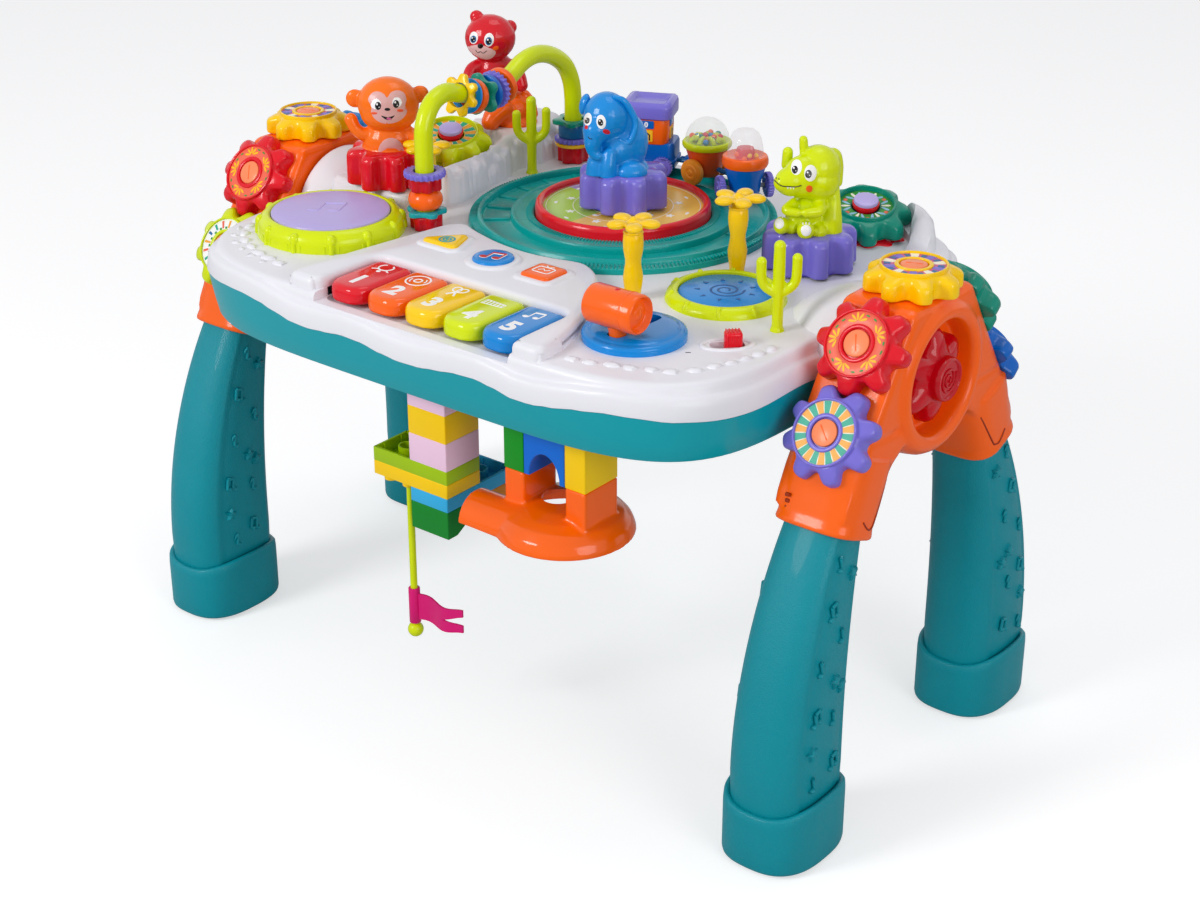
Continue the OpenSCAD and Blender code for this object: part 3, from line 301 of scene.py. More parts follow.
def blob(shapes, mat, voxel, smooth):
    """Balls and tubes melted into one soft form."""
    p = Part()
    for kind, *s in shapes:
        if kind == "ball":
            p.ball(s[0], s[1], mat, R=s[2] if len(s) > 2 else None, seg=20, rows=12)
        else:
            p.tube(s[0], s[1], mat)
    return remesh(p, voxel, smooth)


def cut(part, *tools):
    """The part with the tools taken out of it."""
    o = placed(bpy.data.objects.new("tmp", part.mesh("tmp")))
    helpers = []
    for tool in tools:
        h = placed(bpy.data.objects.new("tmp", tool.mesh("tmp")))
        helpers.append(h)
        b = o.modifiers.new("b", "BOOLEAN")
        b.operation, b.object, b.solver = "DIFFERENCE", h, "EXACT"
    me = evaluated(o)
    res = Part()
    res.mats = list(part.mats)
    res.v = [v.co.copy() for v in me.vertices]
    res.f = [list(q.vertices) for q in me.polygons]
    res.m = [min(q.material_index, len(res.mats) - 1) for q in me.polygons]
    for x in [o] + helpers:
        drop(x)
    return res


def join(*parts):
    res = Part()
    for q in parts:
        base = len(res.v)
        idx = [res.mat(m) for m in q.mats]
        res.v += q.v
        res.f += [[base + i for i in f] for f in q.f]
        res.m += [idx[i] for i in q.m]
    return res


def inset(pts, d):
    """Moves a closed outline inwards by d."""
    if abs(d) < 1e-9:
        return list(pts)
    n, out = len(pts), []
    area = sum(pts[i][0] * pts[(i + 1) % n][1] - pts[(i + 1) % n][0] * pts[i][1] for i in range(n))
    s = 1 if area > 0 else -1
    for i in range(n):
        a, b, c = Vector(pts[i - 1]), Vector(pts[i]), Vector(pts[(i + 1) % n])
        e, f = (b - a), (c - b)
        if e.length < 1e-9:
            e = f
        if f.length < 1e-9:
            f = e
        e.normalize()
        f.normalize()
        u, v = Vector((-e.y, e.x)) * s, Vector((-f.y, f.x)) * s
        w = u + v
        w = w.normalized() if w.length > 1e-6 else u
        k = max(0.45, w.dot(u))
        out.append((b.x + w.x * d / k, b.y + w.y * d / k))
    return out


def rounded(pts, r, steps=6):
    """Polygon with its corners rounded."""
    n, out = len(pts), []
    for i in range(n):
        a, b, c = Vector(pts[i - 1]), Vector(pts[i]), Vector(pts[(i + 1) % n])
        rr = r[i] if isinstance(r, (list, tuple)) else r
        e, f = (a - b), (c - b)
        k = min(rr, e.length * 0.48, f.length * 0.48)
        p, q = b + e.normalized() * k, b + f.normalized() * k
        for s in range(steps + 1):
            t = s / steps
            out.append(tuple(p * (1 - t) ** 2 + b * 2 * t * (1 - t) + q * t * t))
    return out


def smooth_line(pts, n=8, closed=False):
    """Catmull-Rom curve through the points."""
    pts = [Vector(p) for p in pts]
    m, out = len(pts), []
    for i in range(m if closed else m - 1):
        p1, p2 = pts[i], pts[(i + 1) % m]
        p0 = pts[i - 1] if (i or closed) else p1 * 2 - p2
        p3 = pts[(i + 2) % m] if (i < m - 2 or closed) else p2 * 2 - p1
        for s in range(n):
            t = s / n
            out.append(0.5 * (2 * p1 + (p2 - p0) * t + (2 * p0 - 5 * p1 + 4 * p2 - p3) * t * t
                              + (3 * p1 - p0 - 3 * p2 + p3) * t ** 3))
    if not closed:
        out.append(pts[-1])
    return out


def rrect(lx, ly, r, steps=12, cx=0, cy=0):
    """Rounded rectangle with half sizes lx and ly."""
    pts = []
    for k, (sx, sy) in enumerate([(1, -1), (1, 1), (-1, 1), (-1, -1)]):
        a0 = -90 + 90 * k
        for i in range(steps + 1):
            a = radians(a0 + 90 * i / steps)
            pts.append((cx + sx * (lx - r) + r * cos(a), cy + sy * (ly - r) + r * sin(a)))
    return pts


def polar(r, deg):
    return (r * cos(radians(deg)), r * sin(radians(deg)))


def circle(r, n=48, cx=0, cy=0):
    return [(cx + r * cos(2 * pi * i / n), cy + r * sin(2 * pi * i / n)) for i in range(n)]


def T_(x, y, z):
    return Matrix.Translation((x, y, z))


def R_(deg, axis):
    return Matrix.Rotation(radians(deg), 4, axis)


# ---------------------------------------------------------------- camera, light and floor
AZ, EL, FOCAL_PX, WIDTH_PX = radians(38.5136), radians(25.3768), 2172.1, 1200
back = Vector((sin(AZ) * cos(EL), -cos(AZ) * cos(EL), sin(EL)))
right = Vector((cos(AZ), sin(AZ), 0))
EYE = Vector((855.2, -1054.6, 796.9))
cam = bpy.data.cameras.new("camera")
cam.sensor_width = 36
cam.lens = FOCAL_PX * 36 / WIDTH_PX
cam.clip_end = 20
camera = placed(bpy.data.objects.new("camera", cam))
view_axes = Matrix((right, back.cross(right), back)).transposed()
camera.matrix_world = Matrix.LocRotScale(EYE * MM, view_axes.to_quaternion(), None)
bpy.context.scene.camera = camera
bpy.context.scene.view_settings.view_transform = "Standard"


def lamp(name, where, size, watts, look=(0, 0, 0.25)):
    d = bpy.data.lights.new(name, "AREA")
    d.shape, d.size, d.energy = "DISK", size, watts
    o = placed(bpy.data.objects.new(name, d))
    o.location = where
    o.rotation_euler = (Vector(where) - Vector(look)).to_track_quat("Z", "Y").to_euler()


lamp("key", (-0.7, -1.9, 1.3), 0.8, 25)
lamp("fill", (2.0, -0.7, 0.9), 1.2, 14)
lamp("top", (0.1, 0.4, 2.2), 1.0, 6)
world = bpy.data.worlds.new("studio")
bpy.context.scene.world = world
world.use_nodes = True
wn = world.node_tree
wn.nodes.clear()
seen = wn.nodes.new("ShaderNodeLightPath")
white_for = seen.outputs["Is Camera Ray"]
for ray in ("Is Transmission Ray", "Is Glossy Ray"):
    either = wn.nodes.new("ShaderNodeMath")
    either.operation = "MAXIMUM"
    wn.links.new(white_for, either.inputs[0])
    wn.links.new(seen.outputs[ray], either.inputs[1])
    white_for = either.outputs[0]
soft = node_of(wn, "ShaderNodeBackground", Color=(0.95, 0.96, 1, 1), Strength=0.43)
plain = node_of(wn, "ShaderNodeBackground", Color=(1, 1, 1, 1), Strength=1.0)
pick = wn.nodes.new("ShaderNodeMixShader")
out = wn.nodes.new("ShaderNodeOutputWorld")
wn.links.new(white_for, pick.inputs[0])
wn.links.new(soft.outputs[0], pick.inputs[1])
wn.links.new(plain.outputs[0], pick.inputs[2])
wn.links.new(pick.outputs[0], out.inputs[0])

fm = bpy.data.materials.new("floor")
fm.use_nodes = True
fn = fm.node_tree
fb = fn.nodes["Principled BSDF"]
fb.inputs["Base Color"].default_value = (0.62, 0.62, 0.62, 1)
fb.inputs["Roughness"].default_value = 0.9
fb.inputs["Specular IOR Level"].default_value = 0.0
glow = node_of(fn, "ShaderNodeEmission", Color=(1, 1, 1, 1), Strength=0.55)
lp = fn.nodes.new("ShaderNodeLightPath")
dark = node_of(fn, "ShaderNodeEmission", Color=(0, 0, 0, 1), Strength=0.0)
gate = fn.nodes.new("ShaderNodeMixShader")
both = fn.nodes.new("ShaderNodeAddShader")
fn.links.new(lp.outputs["Is Camera Ray"], gate.inputs[0])
fn.links.new(dark.outputs[0], gate.inputs[1])
fn.links.new(glow.outputs[0], gate.inputs[2])
fn.links.new(fb.outputs[0], both.inputs[0])
fn.links.new(gate.outputs[0], both.inputs[1])
fn.links.new(both.outputs[0], fn.nodes["Material Output"].inputs["Surface"])
FLOOR_R, FLOOR_SIDES = 9, 64
me = bpy.data.meshes.new("floor")
me.from_pydata([(x, y, 0) for x, y in circle(FLOOR_R, FLOOR_SIDES)], [], [list(range(FLOOR_SIDES))])
me.materials.append(fm)
placed(bpy.data.objects.new("floor", me))

LEG_X = 251
AX = Matrix(((0, 0, 1, 0), (1, 0, 0, 0), (0, 1, 0, 0), (0, 0, 0, 1)))      # outline in (y, z), raised along X
SX = Matrix.Diagonal((-1, 1, 1, 1))
SY = Matrix.Diagonal((1, -1, 1, 1))
ID = Matrix()


def sector(p, r0, r1, a0, a1, z0, z1, mat, T=None, n=4):
    """Flat piece of a ring, from angle a0 to a1."""
    out = [polar(r1, a0 + (a1 - a0) * i / n) for i in range(n + 1)]
    out += [polar(r0, a1 + (a0 - a1) * i / n) for i in range(n + 1)]
    p.prism(out, [(0, z0), (0, z1)], mat, T)


def ringlet(p, r0, r1, z0, z1, mat, T=None, edge=0.5, seg=56):
    """Raised ring with rounded edges."""
    e = min(edge, (r1 - r0) * 0.45, (z1 - z0) * 0.9)
    p.revolve([(r0, z0), (r0, z1 - e), (r0 + e * 0.3, z1 - e * 0.3), (r0 + e, z1), (r1 - e, z1),
               (r1 - e * 0.3, z1 - e * 0.3), (r1, z1 - e), (r1, z0), (r0, z0)], mat, T, seg)


def superring(y, z, a, lx, ly, n=64, p=0.75, recess=0.0, flat=0.62):
    """Ring of a leg or sleeve about (LEG_X, y, z), tipped by a about X."""
    out = []
    for i in range(n):
        t = 2 * pi * i / n
        c, s = cos(t), sin(t)
        u = lx * math.copysign(abs(c) ** p, c)
        v = ly * math.copysign(abs(s) ** p, s)
        if recess:
            k = min(1, max(0, (flat * ly - abs(v)) / 1.6))
            u -= math.copysign(recess * k * k * (3 - 2 * k), u) if abs(c) > 0.2 else 0
        out.append((LEG_X + u, y + v * cos(a), z - v * sin(a)))
    return out

# ---------------------------------------------------------------- stand: legs
AXIS_Z, FOOT_Y, LEG_ANGLE, BEND_R, BEND_Z = 282, 114, radians(22), 400, 58
RIM = (-FOOT_Y + BEND_R * (1 - cos(LEG_ANGLE)), BEND_Z + BEND_R * sin(LEG_ANGLE))


def leg_at(u):
    """Middle line and half sizes of a leg: u = 0 at the sleeve, 1 above the boot."""
    v = 1 - (1 - u) ** 1.6 * (1 - u * 0.2)
    a = LEG_ANGLE * (1 - u)
    return (-FOOT_Y + BEND_R * (1 - cos(a)), BEND_Z + BEND_R * sin(a), a, 22 + 6.5 * v, 19.5 + 16 * v)


def star_outline(r, k=0.48, n=5, turn=90):
    return [polar(r * k if i % 2 else r, turn + 180 * i / n) for i in range(2 * n)]


def note(p, T, mat, size=1.0, double=False, h=1.6, r=0.75):
    """Embossed note in the local (x, y) plane, raised along z."""
    heads = [(0, 0)] + ([(4.6 * size, 0.6 * size)] if double else [])
    for x, y in heads:
        p.ball((x, y, 0), (2.1 * size, 1.6 * size, h), mat, T, 16, 8)
        p.tube([(x + 1.7 * size, y, h * 0.25), (x + 1.7 * size, y + 7.2 * size, h * 0.25)], r * size, mat, T,
               8)
    if double:
        p.tube([(1.7 * size, 7.0 * size, h * 0.25), (6.3 * size, 7.6 * size, h * 0.25)], 1.1 * size, mat, T,
               8)
    else:
        p.tube([(1.7 * size, 7.2 * size, h * 0.25), (3.6 * size, 5.6 * size, h * 0.25),
                (3.9 * size, 3.8 * size, h * 0.2)],
               [1.0 * size, 0.8 * size, 0.5 * size], mat, T, 8)


# kind, offset from the middle line of the leg, height
LEG_MARKS = [("note", -7, 196), ("star", 7, 186), ("double", -8, 168), ("note", 7, 150), ("note", -11, 136),
             ("star", 4, 122), ("double", -12, 104), ("note", 7, 98), ("star", -13, 82), ("note", -10, 60),
             ("double", 9, 66), ("star", 12, 116)]


def build_leg(name, T):
    p = Part()
    steps = 26
    rings = [superring(-FOOT_Y, 40, 0, 28, 35, recess=1.3)]
    for i in range(steps, -1, -1):
        y, z, a, lx, ly = leg_at(i / steps)
        rings.append(superring(y, z, a, lx, ly, recess=1.3))
    y, z, a, lx, ly = leg_at(0)
    rings.append(superring(y + 12 * sin(a), z + 12 * cos(a), a, 20, 18))
    p.loft(rings, LEG, T)
    n = 64
    low = superring(-FOOT_Y, 0, 0, 32, 39, n)
    rows = []
    for d, z0, k in [(1.6, 2, 0), (0.4, 3, 0), (0, 5, 0), (0, 20, 0.2), (0, 38, 0.9), (0.3, 42.6, 1),
                     (1.2, 44.0, 1), (2.6, 44.4, 1),
                     (4.2, 43.6, 1), (5.2, 41.0, 1)]:
        row = []
        for i, (x, y, _) in enumerate(low):
            t = 2 * pi * i / n
            s = 1 - d / 34
            rise = k * (5.5 * cos(t) ** 2 - 3.0)
            row.append((LEG_X + (x - LEG_X) * s, -FOOT_Y + (y + FOOT_Y) * s, z0 + rise))
        rows.append(row)
    p.loft(rows, LEG, T)
    for side in (1, -1):
        for kind, dy, z in LEG_MARKS:
            u = max(0, min(1, 1 - math.asin(min(1, max(0, (z - BEND_Z) / BEND_R))) / LEG_ANGLE))
            yc, _, _, lx, ly = leg_at(u)
            y, lx = yc + dy, lx * (1 - min(0.98, abs(dy) / ly) ** (2 / 0.75)) ** 0.375 - 1.3
            F = Matrix(((0, 0, side, LEG_X + side * lx), (side, 0, 0, y), (0, 1, 0, z), (0, 0, 0, 1)))
            G = T @ F @ R_(10, "Z")
            if kind == "star":
                p.prism(star_outline(4.6), [(-0.4, -0.5), (-0.1, 1.2), (0.5, 2.3), (1.1, 2.6)], LEG, G)
            else:
                note(p, G @ T_(-3, -3, 0.2), LEG, 1.1, kind == "double", h=2.6, r=1.15)
    p.make(name, "stand", [name], "teal_plastic", angle=50)


for name, T in dict(leg_front_left=SX, leg_front_right=ID, leg_rear_left=SX @ SY, leg_rear_right=SY).items():
    build_leg(name, T)

p = Part()
RUBBER = M_("rubber", rough=0.7, grain=0.3, coat=0.0)
for T in (ID, SX, SY, SX @ SY):
    p.prism(rrect(24, 31, 14, cx=LEG_X, cy=-FOOT_Y), [(0.8, 0), (0, 0.6), (0, 2.4)], RUBBER, T)
    for i in range(-4, 5):
        y = -FOOT_Y + i * 6
        p.box((LEG_X - 16, y - 1, 0), (LEG_X + 16, y + 1, 0.7), RUBBER, T)
p.make("foot_grips", "stand", ["foot_pads"], "rubber_pad")

# ---------------------------------------------------------------- stand: brackets
HALF = [(0, 333), (-30, 333), (-34.5, 331.3), (-50, 306.5), (-74, 269.6), (-90, 245), (-97.5, 230.5),
        (-100, 222), (-66, 207),
        (-61, 222), (-55.5, 232), (-47, 241), (-37, 247), (-28, 249.5)]

HUB_R, OPENING_R, SPLIT_Z = 47.5, 35.5, 262


def hub_arc(r, angles):
    """Points round the knob's axis, counted from below it."""
    return [(r * sin(radians(a)), AXIS_Z - r * cos(radians(a))) for a in angles]


def mirrored(pts):
    return [(-y, z) for y, z in reversed(pts)]


def bracket_outlines():
    """The whole plate, its raised field above the knob's opening and the one below."""
    arch = hub_arc(HUB_R, range(-36, 37, 6))
    above = [q for q in HALF if q[1] >= SPLIT_Z]
    below = [q for q in HALF if q[1] < SPLIT_Z]
    opening = hub_arc(OPENING_R, range(-56, -306, -8))
    upper_field = above + [(-79, SPLIT_Z)] + opening + [(79, SPLIT_Z)] + mirrored(above[1:])
    lower_field = [(-76, 266.6)] + below + arch + mirrored(below) + [(76, 266.6)]
    lower_field += hub_arc(OPENING_R, range(62, -63, -8))
    return HALF + arch + mirrored(HALF[1:]), upper_field, lower_field


def bracket_body():
    """Skin of a bracket: plate, raised fields, rim round the knob and the sleeves of the legs."""
    p = Part()
    edge = [(4.5, 224.2), (1.4, 225.6), (0, 229), (0, 262)]
    front = [(0, 246), (0, 270), (1.2, 273.6), (5, 275.2)]
    for out, prof in zip(bracket_outlines(), (edge, front, front)):
        p.prism(out, prof, ORANGE, AX)
    p.revolve([(35.6, 250), (35.6, 274), (36.6, 277), (39, 278.6), (42.5, 278.7), (46, 276.6), (49, 271.5),
               (50.2, 264), (50, 250), (35.6, 250)], ORANGE, T_(0, 0, AXIS_Z) @ R_(90, "Y"), 72)
    for flip in (1, -1):
        p.loft(sleeve_rings(flip), ORANGE)
    return remesh(p, 1.15, 5)


def sleeve_rings(flip):
    rings = []
    for s, lx, ly in [(-0.5, 25.6, 21.4), (0, 26.8, 22.8), (1.2, 27.2, 23.3), (3.4, 26.9, 22.9),
                      (7, 26.4, 22.2), (22, 26.7, 22.6),
                      (34, 27, 23.5), (48, 27, 24)]:
        y, z = RIM[0] + s * sin(LEG_ANGLE), RIM[1] + s * cos(LEG_ANGLE)
        rings.append([(x, yy * flip, zz) for x, yy, zz in superring(y, z, LEG_ANGLE, lx, ly, 48, 0.62)])
    return rings


# Dark orange is painted shade: the sleeve's groove line and three small marks on the sleeve take it, standing
# for the shade inside recesses.
PAINTED_SHADE_ORANGE = plastic("orange_painted_shade", (150, 48, 8), rough=0.5)


def on_sleeve(y, z, lift=0.1):
    """Point on the outer face of the sleeve."""
    s = (y - RIM[0]) * sin(LEG_ANGLE) + (z - RIM[1]) * cos(LEG_ANGLE)
    e = (y - RIM[0]) * cos(LEG_ANGLE) - (z - RIM[1]) * sin(LEG_ANGLE)
    lx, ly = 26.5, 22.4 + 0.03 * s
    k = 1 - min(0.98, abs(e) / ly) ** (2 / 0.62)
    return (LEG_X + lx * k ** 0.31 + lift, y, z)


SLEEVE_GROOVE = [(-55.5, 236), (-70, 214.5), (-73.5, 211.5), (-78, 212.3), (-83.5, 219)]
body = bracket_body()
for name, T in (("bracket_right", ID), ("bracket_left", SX)):
    p = Part()
    p.add(*body, ORANGE, T)
    # groove line and small marks in the dark orange of painted shade
    for L in (T, T @ SY):
        p.tube([on_sleeve(y, z) for y, z in smooth_line(SLEEVE_GROOVE, 5)], 0.55, PAINTED_SHADE_ORANGE, L, 8)
        for z in (222, 226, 230):
            p.box((233.9, -101.0, z), (236.9, -99.0, z + 2), PAINTED_SHADE_ORANGE, L, 0.3)
    p.make(name, "stand", [name], "orange_plastic", angle=60)

# ---------------------------------------------------------------- gears
GEAR_R, GEAR_RIM, GEAR_DISC = 30.2, 16.0, 20.6


def lobes(ro, rr, n=8, sharp=1.5, bias=0.12, seg=128, turn=0):
    """Outline of a rounded, lobed gear."""
    out = []
    for i in range(seg):
        t = 2 * pi * i / seg
        c = cos(n * t) + bias
        k = 0.5 + 0.5 * math.tanh(sharp * c * 1.25) / math.tanh(sharp * 1.25)
        r = rr + (ro - rr) * k
        out.append((r * cos(t + turn), r * sin(t + turn)))
    return out


def stack(p, outlines, mat, T=None, caps=(True, True)):
    """Loft through [(z, outline), ...]."""
    p.loft([[(x, y, z) for x, y in o] for z, o in outlines], mat, T, caps)


def toothed(ro, rr, rows, top_z, top_r):
    """Gear outlines: rows = [(z, less at the tips, less at the roots, sharpness)], then a round top."""
    return [(z, lobes(ro - a, rr - b, sharp=sharp)) for z, a, b,
            sharp in rows] + [(top_z, circle(top_r, 128))]


def play_gear(p, mat, T):
    """Bracket gear: teeth that slope back from a thin raised rim."""
    rows = [(0.0, 1.4, 1.0, 1.0), (0.5, 0.5, 0.3, 1.1), (2.0, 0, 0, 1.2), (8.2, 0.3, 0, 1.25),
            (9.6, 1.0, 0.1, 1.25),
            (10.6, 2.2, 0.3, 1.3), (12.4, 5.8, 0.8, 1.2), (13.2, 8.0, 1.6, 1.0)]
    stack(p, toothed(GEAR_R, GEAR_R - 7.8, rows, 13.6, GEAR_DISC), mat, T)
    ringlet(p, GEAR_DISC - 1.5, GEAR_DISC, 13.0, GEAR_RIM, mat, T, 0.6, 72)
    ringlet(p, 8.9, 11.6, 13.0, 15.6, mat, T, 0.8, 56)
    p.revolve([(9.0, 15.0), (9.0, 10.5), (0, 10.5)], mat, T, 40)


def petal(p, c, a, l, w, z, mat, T):
    """Printed leaf, l long and 2 w wide, that starts at c and points at angle a."""
    turns = [2 * pi * i / 12 for i in range(12)]
    p.prism([(l * (0.5 - 0.5 * cos(t)), w * sin(t) * (0.75 + 0.25 * cos(t + pi))) for t in turns],
            [(0, 0), (0, 0.22)], mat, T @ T_(*c, z) @ R_(a, "Z"))


PRINT = dict(rough=0.34, coat=0.1)


def decal(p, kind, T, z=14.0, r0=11.4, r1=19.2):
    """Printed ring of a gear, between r0 and r1."""
    top = z + 0.5
    base = dict(petals="print_coral", rays="print_cream", fan="print_pink", strokes="pure",
                leaves="print_green",
                waves="print_sky")[kind]
    ringlet(p, r0, r1, 13.2, top, M_(base, **PRINT), T, 0.1, 72)

    def bar(ra, rb, a, b, paint, lift=0.2):
        sector(p, ra, rb, a, b, top - 0.05, top + lift, M_(paint, **PRINT), T)

    def leaf(c, a, l, w, paint):
        petal(p, c, a, l, w, top, M_(paint, **PRINT), T)

    if kind == "petals":
        for i in range(5):
            a = 90 + 72 * i
            x, y = polar(r0 + 1.0, a)
            for j in range(-2, 3):
                dx, dy = polar(1.2, a + j * 24)
                leaf((x + dx, y + dy), a + j * 40, 5.2, 0.95, "gold")
            for b in (a + 27, a + 45):
                leaf(polar(17.0, b), b + 90, 2.6, 0.7, "print_green")
    elif kind == "rays":
        for i in range(22):
            a = 360 * i / 22
            bar(r0 + 0.2, r1 - 0.3, a + 1.3, a + 15.1, "print_teal" if i % 2 else "print_orange")
    elif kind == "fan":
        for i in range(10):
            a = 36 * i
            bar(r0 + 0.4, r1 - 0.4, a + 3, a + 20, "print_cream" if i % 2 else "purple")
            bar(r0 + 2.4, r1 - 1.4, a + 22, a + 33, "steel_blue", 0.22)
    elif kind == "strokes":
        for i in range(16):
            a = 22.5 * i
            bar(r0 + 1.2 + i % 3, r1 - 1.2, a, a + 6, ("print_coral", "print_teal", "steel_blue",
                                                       "print_orange")[i % 4])
            bar(r0 + 0.6, r0 + 2.2, a + 9, a + 17, "print_green")
    elif kind == "leaves":
        for i in range(6):
            a = 60 * i
            for j in (-1, 0, 1):
                leaf(polar(r0, a + 9 * j), a + 38 * j, 6.6, 1.3, "print_sky" if j else "print_cream")
            p.ball((*polar(r0 + 4.6, a + 30), top), (1.5, 1.5, 0.25), M_("print_coral", **PRINT), T, 12, 6)
    else:
        for i in range(12):
            bar(r0 + 1, r1 - 1, 30 * i, 30 * i + 12, "royal" if i % 2 else "gold")


UPPER, SPACING, FACE = (-47.8, AXIS_Z + 27.5), 54.7, 33
LOWER = (UPPER[0] - SPACING * sin(radians(FACE)), UPPER[1] - SPACING * cos(radians(FACE)))


def seat(k, side, end):
    """Place of a bracket gear: 0 top, 1 upper, 2 lower; side -1 left, end -1 front."""
    at = ((0, AXIS_Z + 51.5), UPPER, LOWER)[k]
    m = SY if (k and end > 0) else ID
    return m @ T_(side * 252, at[0], at[1]) @ R_(0 if k == 0 else 90 - FACE, "X")


BRACKET_GEARS = [
    ("gear_left_top", 0, -1, -1, "yellow", "fan"), ("gear_left_front_upper", 1, -1, -1, "red", "petals"),
    ("gear_left_front_lower", 2, -1, -1, "lime", "strokes"), ("gear_left_rear_upper", 1, -1, 1, "blue",
                                                              "waves"),
    ("gear_left_rear_lower", 2, -1, 1, "purple", "rays"), ("gear_right_top", 0, 1, -1, "yellow", "fan"),
    ("gear_right_front_upper", 1, 1, -1, "red", "petals"), ("gear_right_front_lower", 2, 1, -1, "purple",
                                                            "rays"),
    ("gear_right_rear_upper", 1, 1, 1, "green", "leaves"), ("gear_right_rear_lower", 2, 1, 1, "royal",
                                                            "waves")]
SLOT = dict(yellow="yellow_plastic", red="red_plastic", lime="lime_plastic", blue="blue_plastic",
            purple="purple_plastic",
            green="teal_plastic", royal="blue_plastic")
caps = Part()
for name, k, side, end, paint, art in BRACKET_GEARS:
    T = seat(k, side, end) @ R_((0, 90, 112.5)[k], "Z")
    p = Part()
    play_gear(p, M_(paint, rough=0.24, coat=0.35), T)
    decal(p, art, T)
    p.make(name, name, [name], SLOT[paint], angle=38)
    caps.revolve([(8.2, 12.0), (8.2, 14.6), (7.9, 15.1), (7.2, 15.4), (0, 15.6)],
                 M_("cap_orange", rough=0.32), T, 40)
    caps.box((-5.2, -0.35, 15.35), (5.2, 0.35, 15.72), M_("orange", rough=0.4), T @ R_(20, "Z"), 0.1)
caps.make("gear_caps", "stand", ["gear_caps"], "orange_plastic")


KNOB_X = 256.4


def knob(name, T0):
    """Six-lobed knob with a spiral on its face."""
    p = Part()
    red = M_("crimson", rough=0.16, coat=0.6)
    T = T0 @ T_(KNOB_X, 0, AXIS_Z) @ R_(90, "Y")
    rows = [(0.2, 26, 17), (1.2, 29.6, 20), (4, 31, 21.5), (12, 30.5, 21), (15, 28.6, 19.6), (17, 25.0, 17.8),
            (18.6, 20.0, 15.6)]
    stack(p, [(z, lobes(ro, rr, 6, 0.9, 0.1, 120)) for z, ro, rr in rows] + [(19.2, circle(15.5, 120))], red,
          T)
    p.revolve([(14.5, 18), (14.0, 22.5), (13.6, 24.6), (12.8, 25.6), (11.8, 25.4), (11.2, 24.6),
               (11.0, 24.2), (0, 24.2)], red, T, 56)
    p.tube([(*polar(1.4 + 7.6 * i / 59, i * 14), 24.5) for i in range(60)], 0.75, red, T, 8)
    p.make(name, name, [name], "red_plastic", angle=40)


knob("knob_right", ID)
knob("knob_left", SX)

# ---------------------------------------------------------------- deck: shells
TEAL_C, LIME_C, MONKEY_C, CROC_C = (137, 131), (-165, 56), (-162.6, -9), (142, 57)
TEAL_Z, LIME_Z = 314, 323.4


def superellipse(lx, ly, n=5.0, seg=240):
    """Plan of the deck: bulging sides and wide corners, counted from the front middle."""
    out = []
    for i in range(seg):
        t = -pi / 2 + 2 * pi * i / seg
        c, s = cos(t), sin(t)
        r = (abs(c / lx) ** n + abs(s / ly) ** n) ** (-1 / n)
        out.append((r * c, r * s))
    return out


WAVE = [(-219, 286), (-175, 289.0), (-150, 290.3), (-136, 290.6), (-120, 289.2), (-105, 286.2), (-89, 283.2),
        (-75, 282.6),
        (-60, 283.8), (-45, 285.4), (-30, 284.9), (-11, 282.0), (3, 280.6), (19, 281.0), (33, 282.8),
        (50, 285.0), (65, 285.6),
        (80, 283.6), (93, 280.8), (107, 280.6), (120, 282.2), (139, 285.0), (158, 286.8), (176, 286.4),
        (195, 284.6), (219, 282)]


def wave_at(x, y):
    """Height of the joint between the two shells."""
    if y < -60:
        for (a, za), (b, zb) in zip(WAVE, WAVE[1:]):
            if a <= x <= b:
                t = (x - a) / (b - a)
                t = t * t * (3 - 2 * t)
                z = za + (zb - za) * t
                break
        else:
            z = WAVE[0][1] if x < 0 else WAVE[-1][1]
        k = min(1, (-60 - y) / 60)
        return z * k + (283 + 1.5 * sin(y / 16)) * (1 - k)
    if y > 60:
        k = min(1, (y - 60) / 60)
        return (284 + 2.3 * sin(x / 14.3)) * k + (283 + 1.5 * sin(y / 16)) * (1 - k)
    return 283 + 1.5 * sin(y / 16)


def shell_rings(rows):
    """rows = [(lx, ly, base z, share of the wave)]."""
    rings = []
    for lx, ly, z, k in rows:
        rings.append([(x, y, z + k * (wave_at(x, y) - 283)) for x, y in superellipse(lx, ly)])
    return rings


lower = Part()
lower.loft(shell_rings([(213.0, 171.5, 256.0, 0), (215.6, 174.1, 256.8, 0), (216.8, 175.3, 259.0, 0),
                        (218.0, 178.0, 270, 0.2),
                        (219.4, 180.9, 282.6, 1), (217.0, 178.5, 283.0, 1)]), TEAL)
STUD_PITCH, STUD_X0, STUD_Y0 = 16, -137, -146
for i in range(18):
    for j in range(8):
        lower.revolve([(0, 256.4), (4.7, 256.4), (4.7, 252.1), (4.3, 251.6), (0, 251.6)], TEAL,
                      T_(STUD_X0 + STUD_PITCH * i, STUD_Y0 + STUD_PITCH * j, 0), 20)
SOUND_HOLES = (-120, 80)
# Black discs stand in for the sound holes, which are not cut: the black is painted shade inside the holes.
for i in range(8):
    lower.cyl((SOUND_HOLES[0] + 14 * cos(pi * i / 4), SOUND_HOLES[1] + 14 * sin(pi * i / 4), 255.7), 2.2, 0.5,
              M_("black", rough=0.7), bevel=0.1, seg=16)
for x in (-190, -70, 70, 190):
    for y in (-136, 136):
        lower.revolve([(0, 256.05), (4.6, 256.05), (4.6, 255.6), (3.4, 255.5), (3.2, 255.9), (0, 255.95)],
                      TEAL, T_(x, y, 0), 24)
lower.make("deck_lower_shell", "deck", ["deck_bottom"], "teal_plastic", angle=40)

KEY_X0, KEY_PITCH, KEY_FRONT = -71.5, 31.4, -168
well = Part()
well.prism(rounded([(-73, -200), (86.6, -200), (86.6, -114.6), (-73, -114.6)], [0.5, 0.5, 10, 10], 8),
           [(0, 299.4), (0, 340)], WHITE)

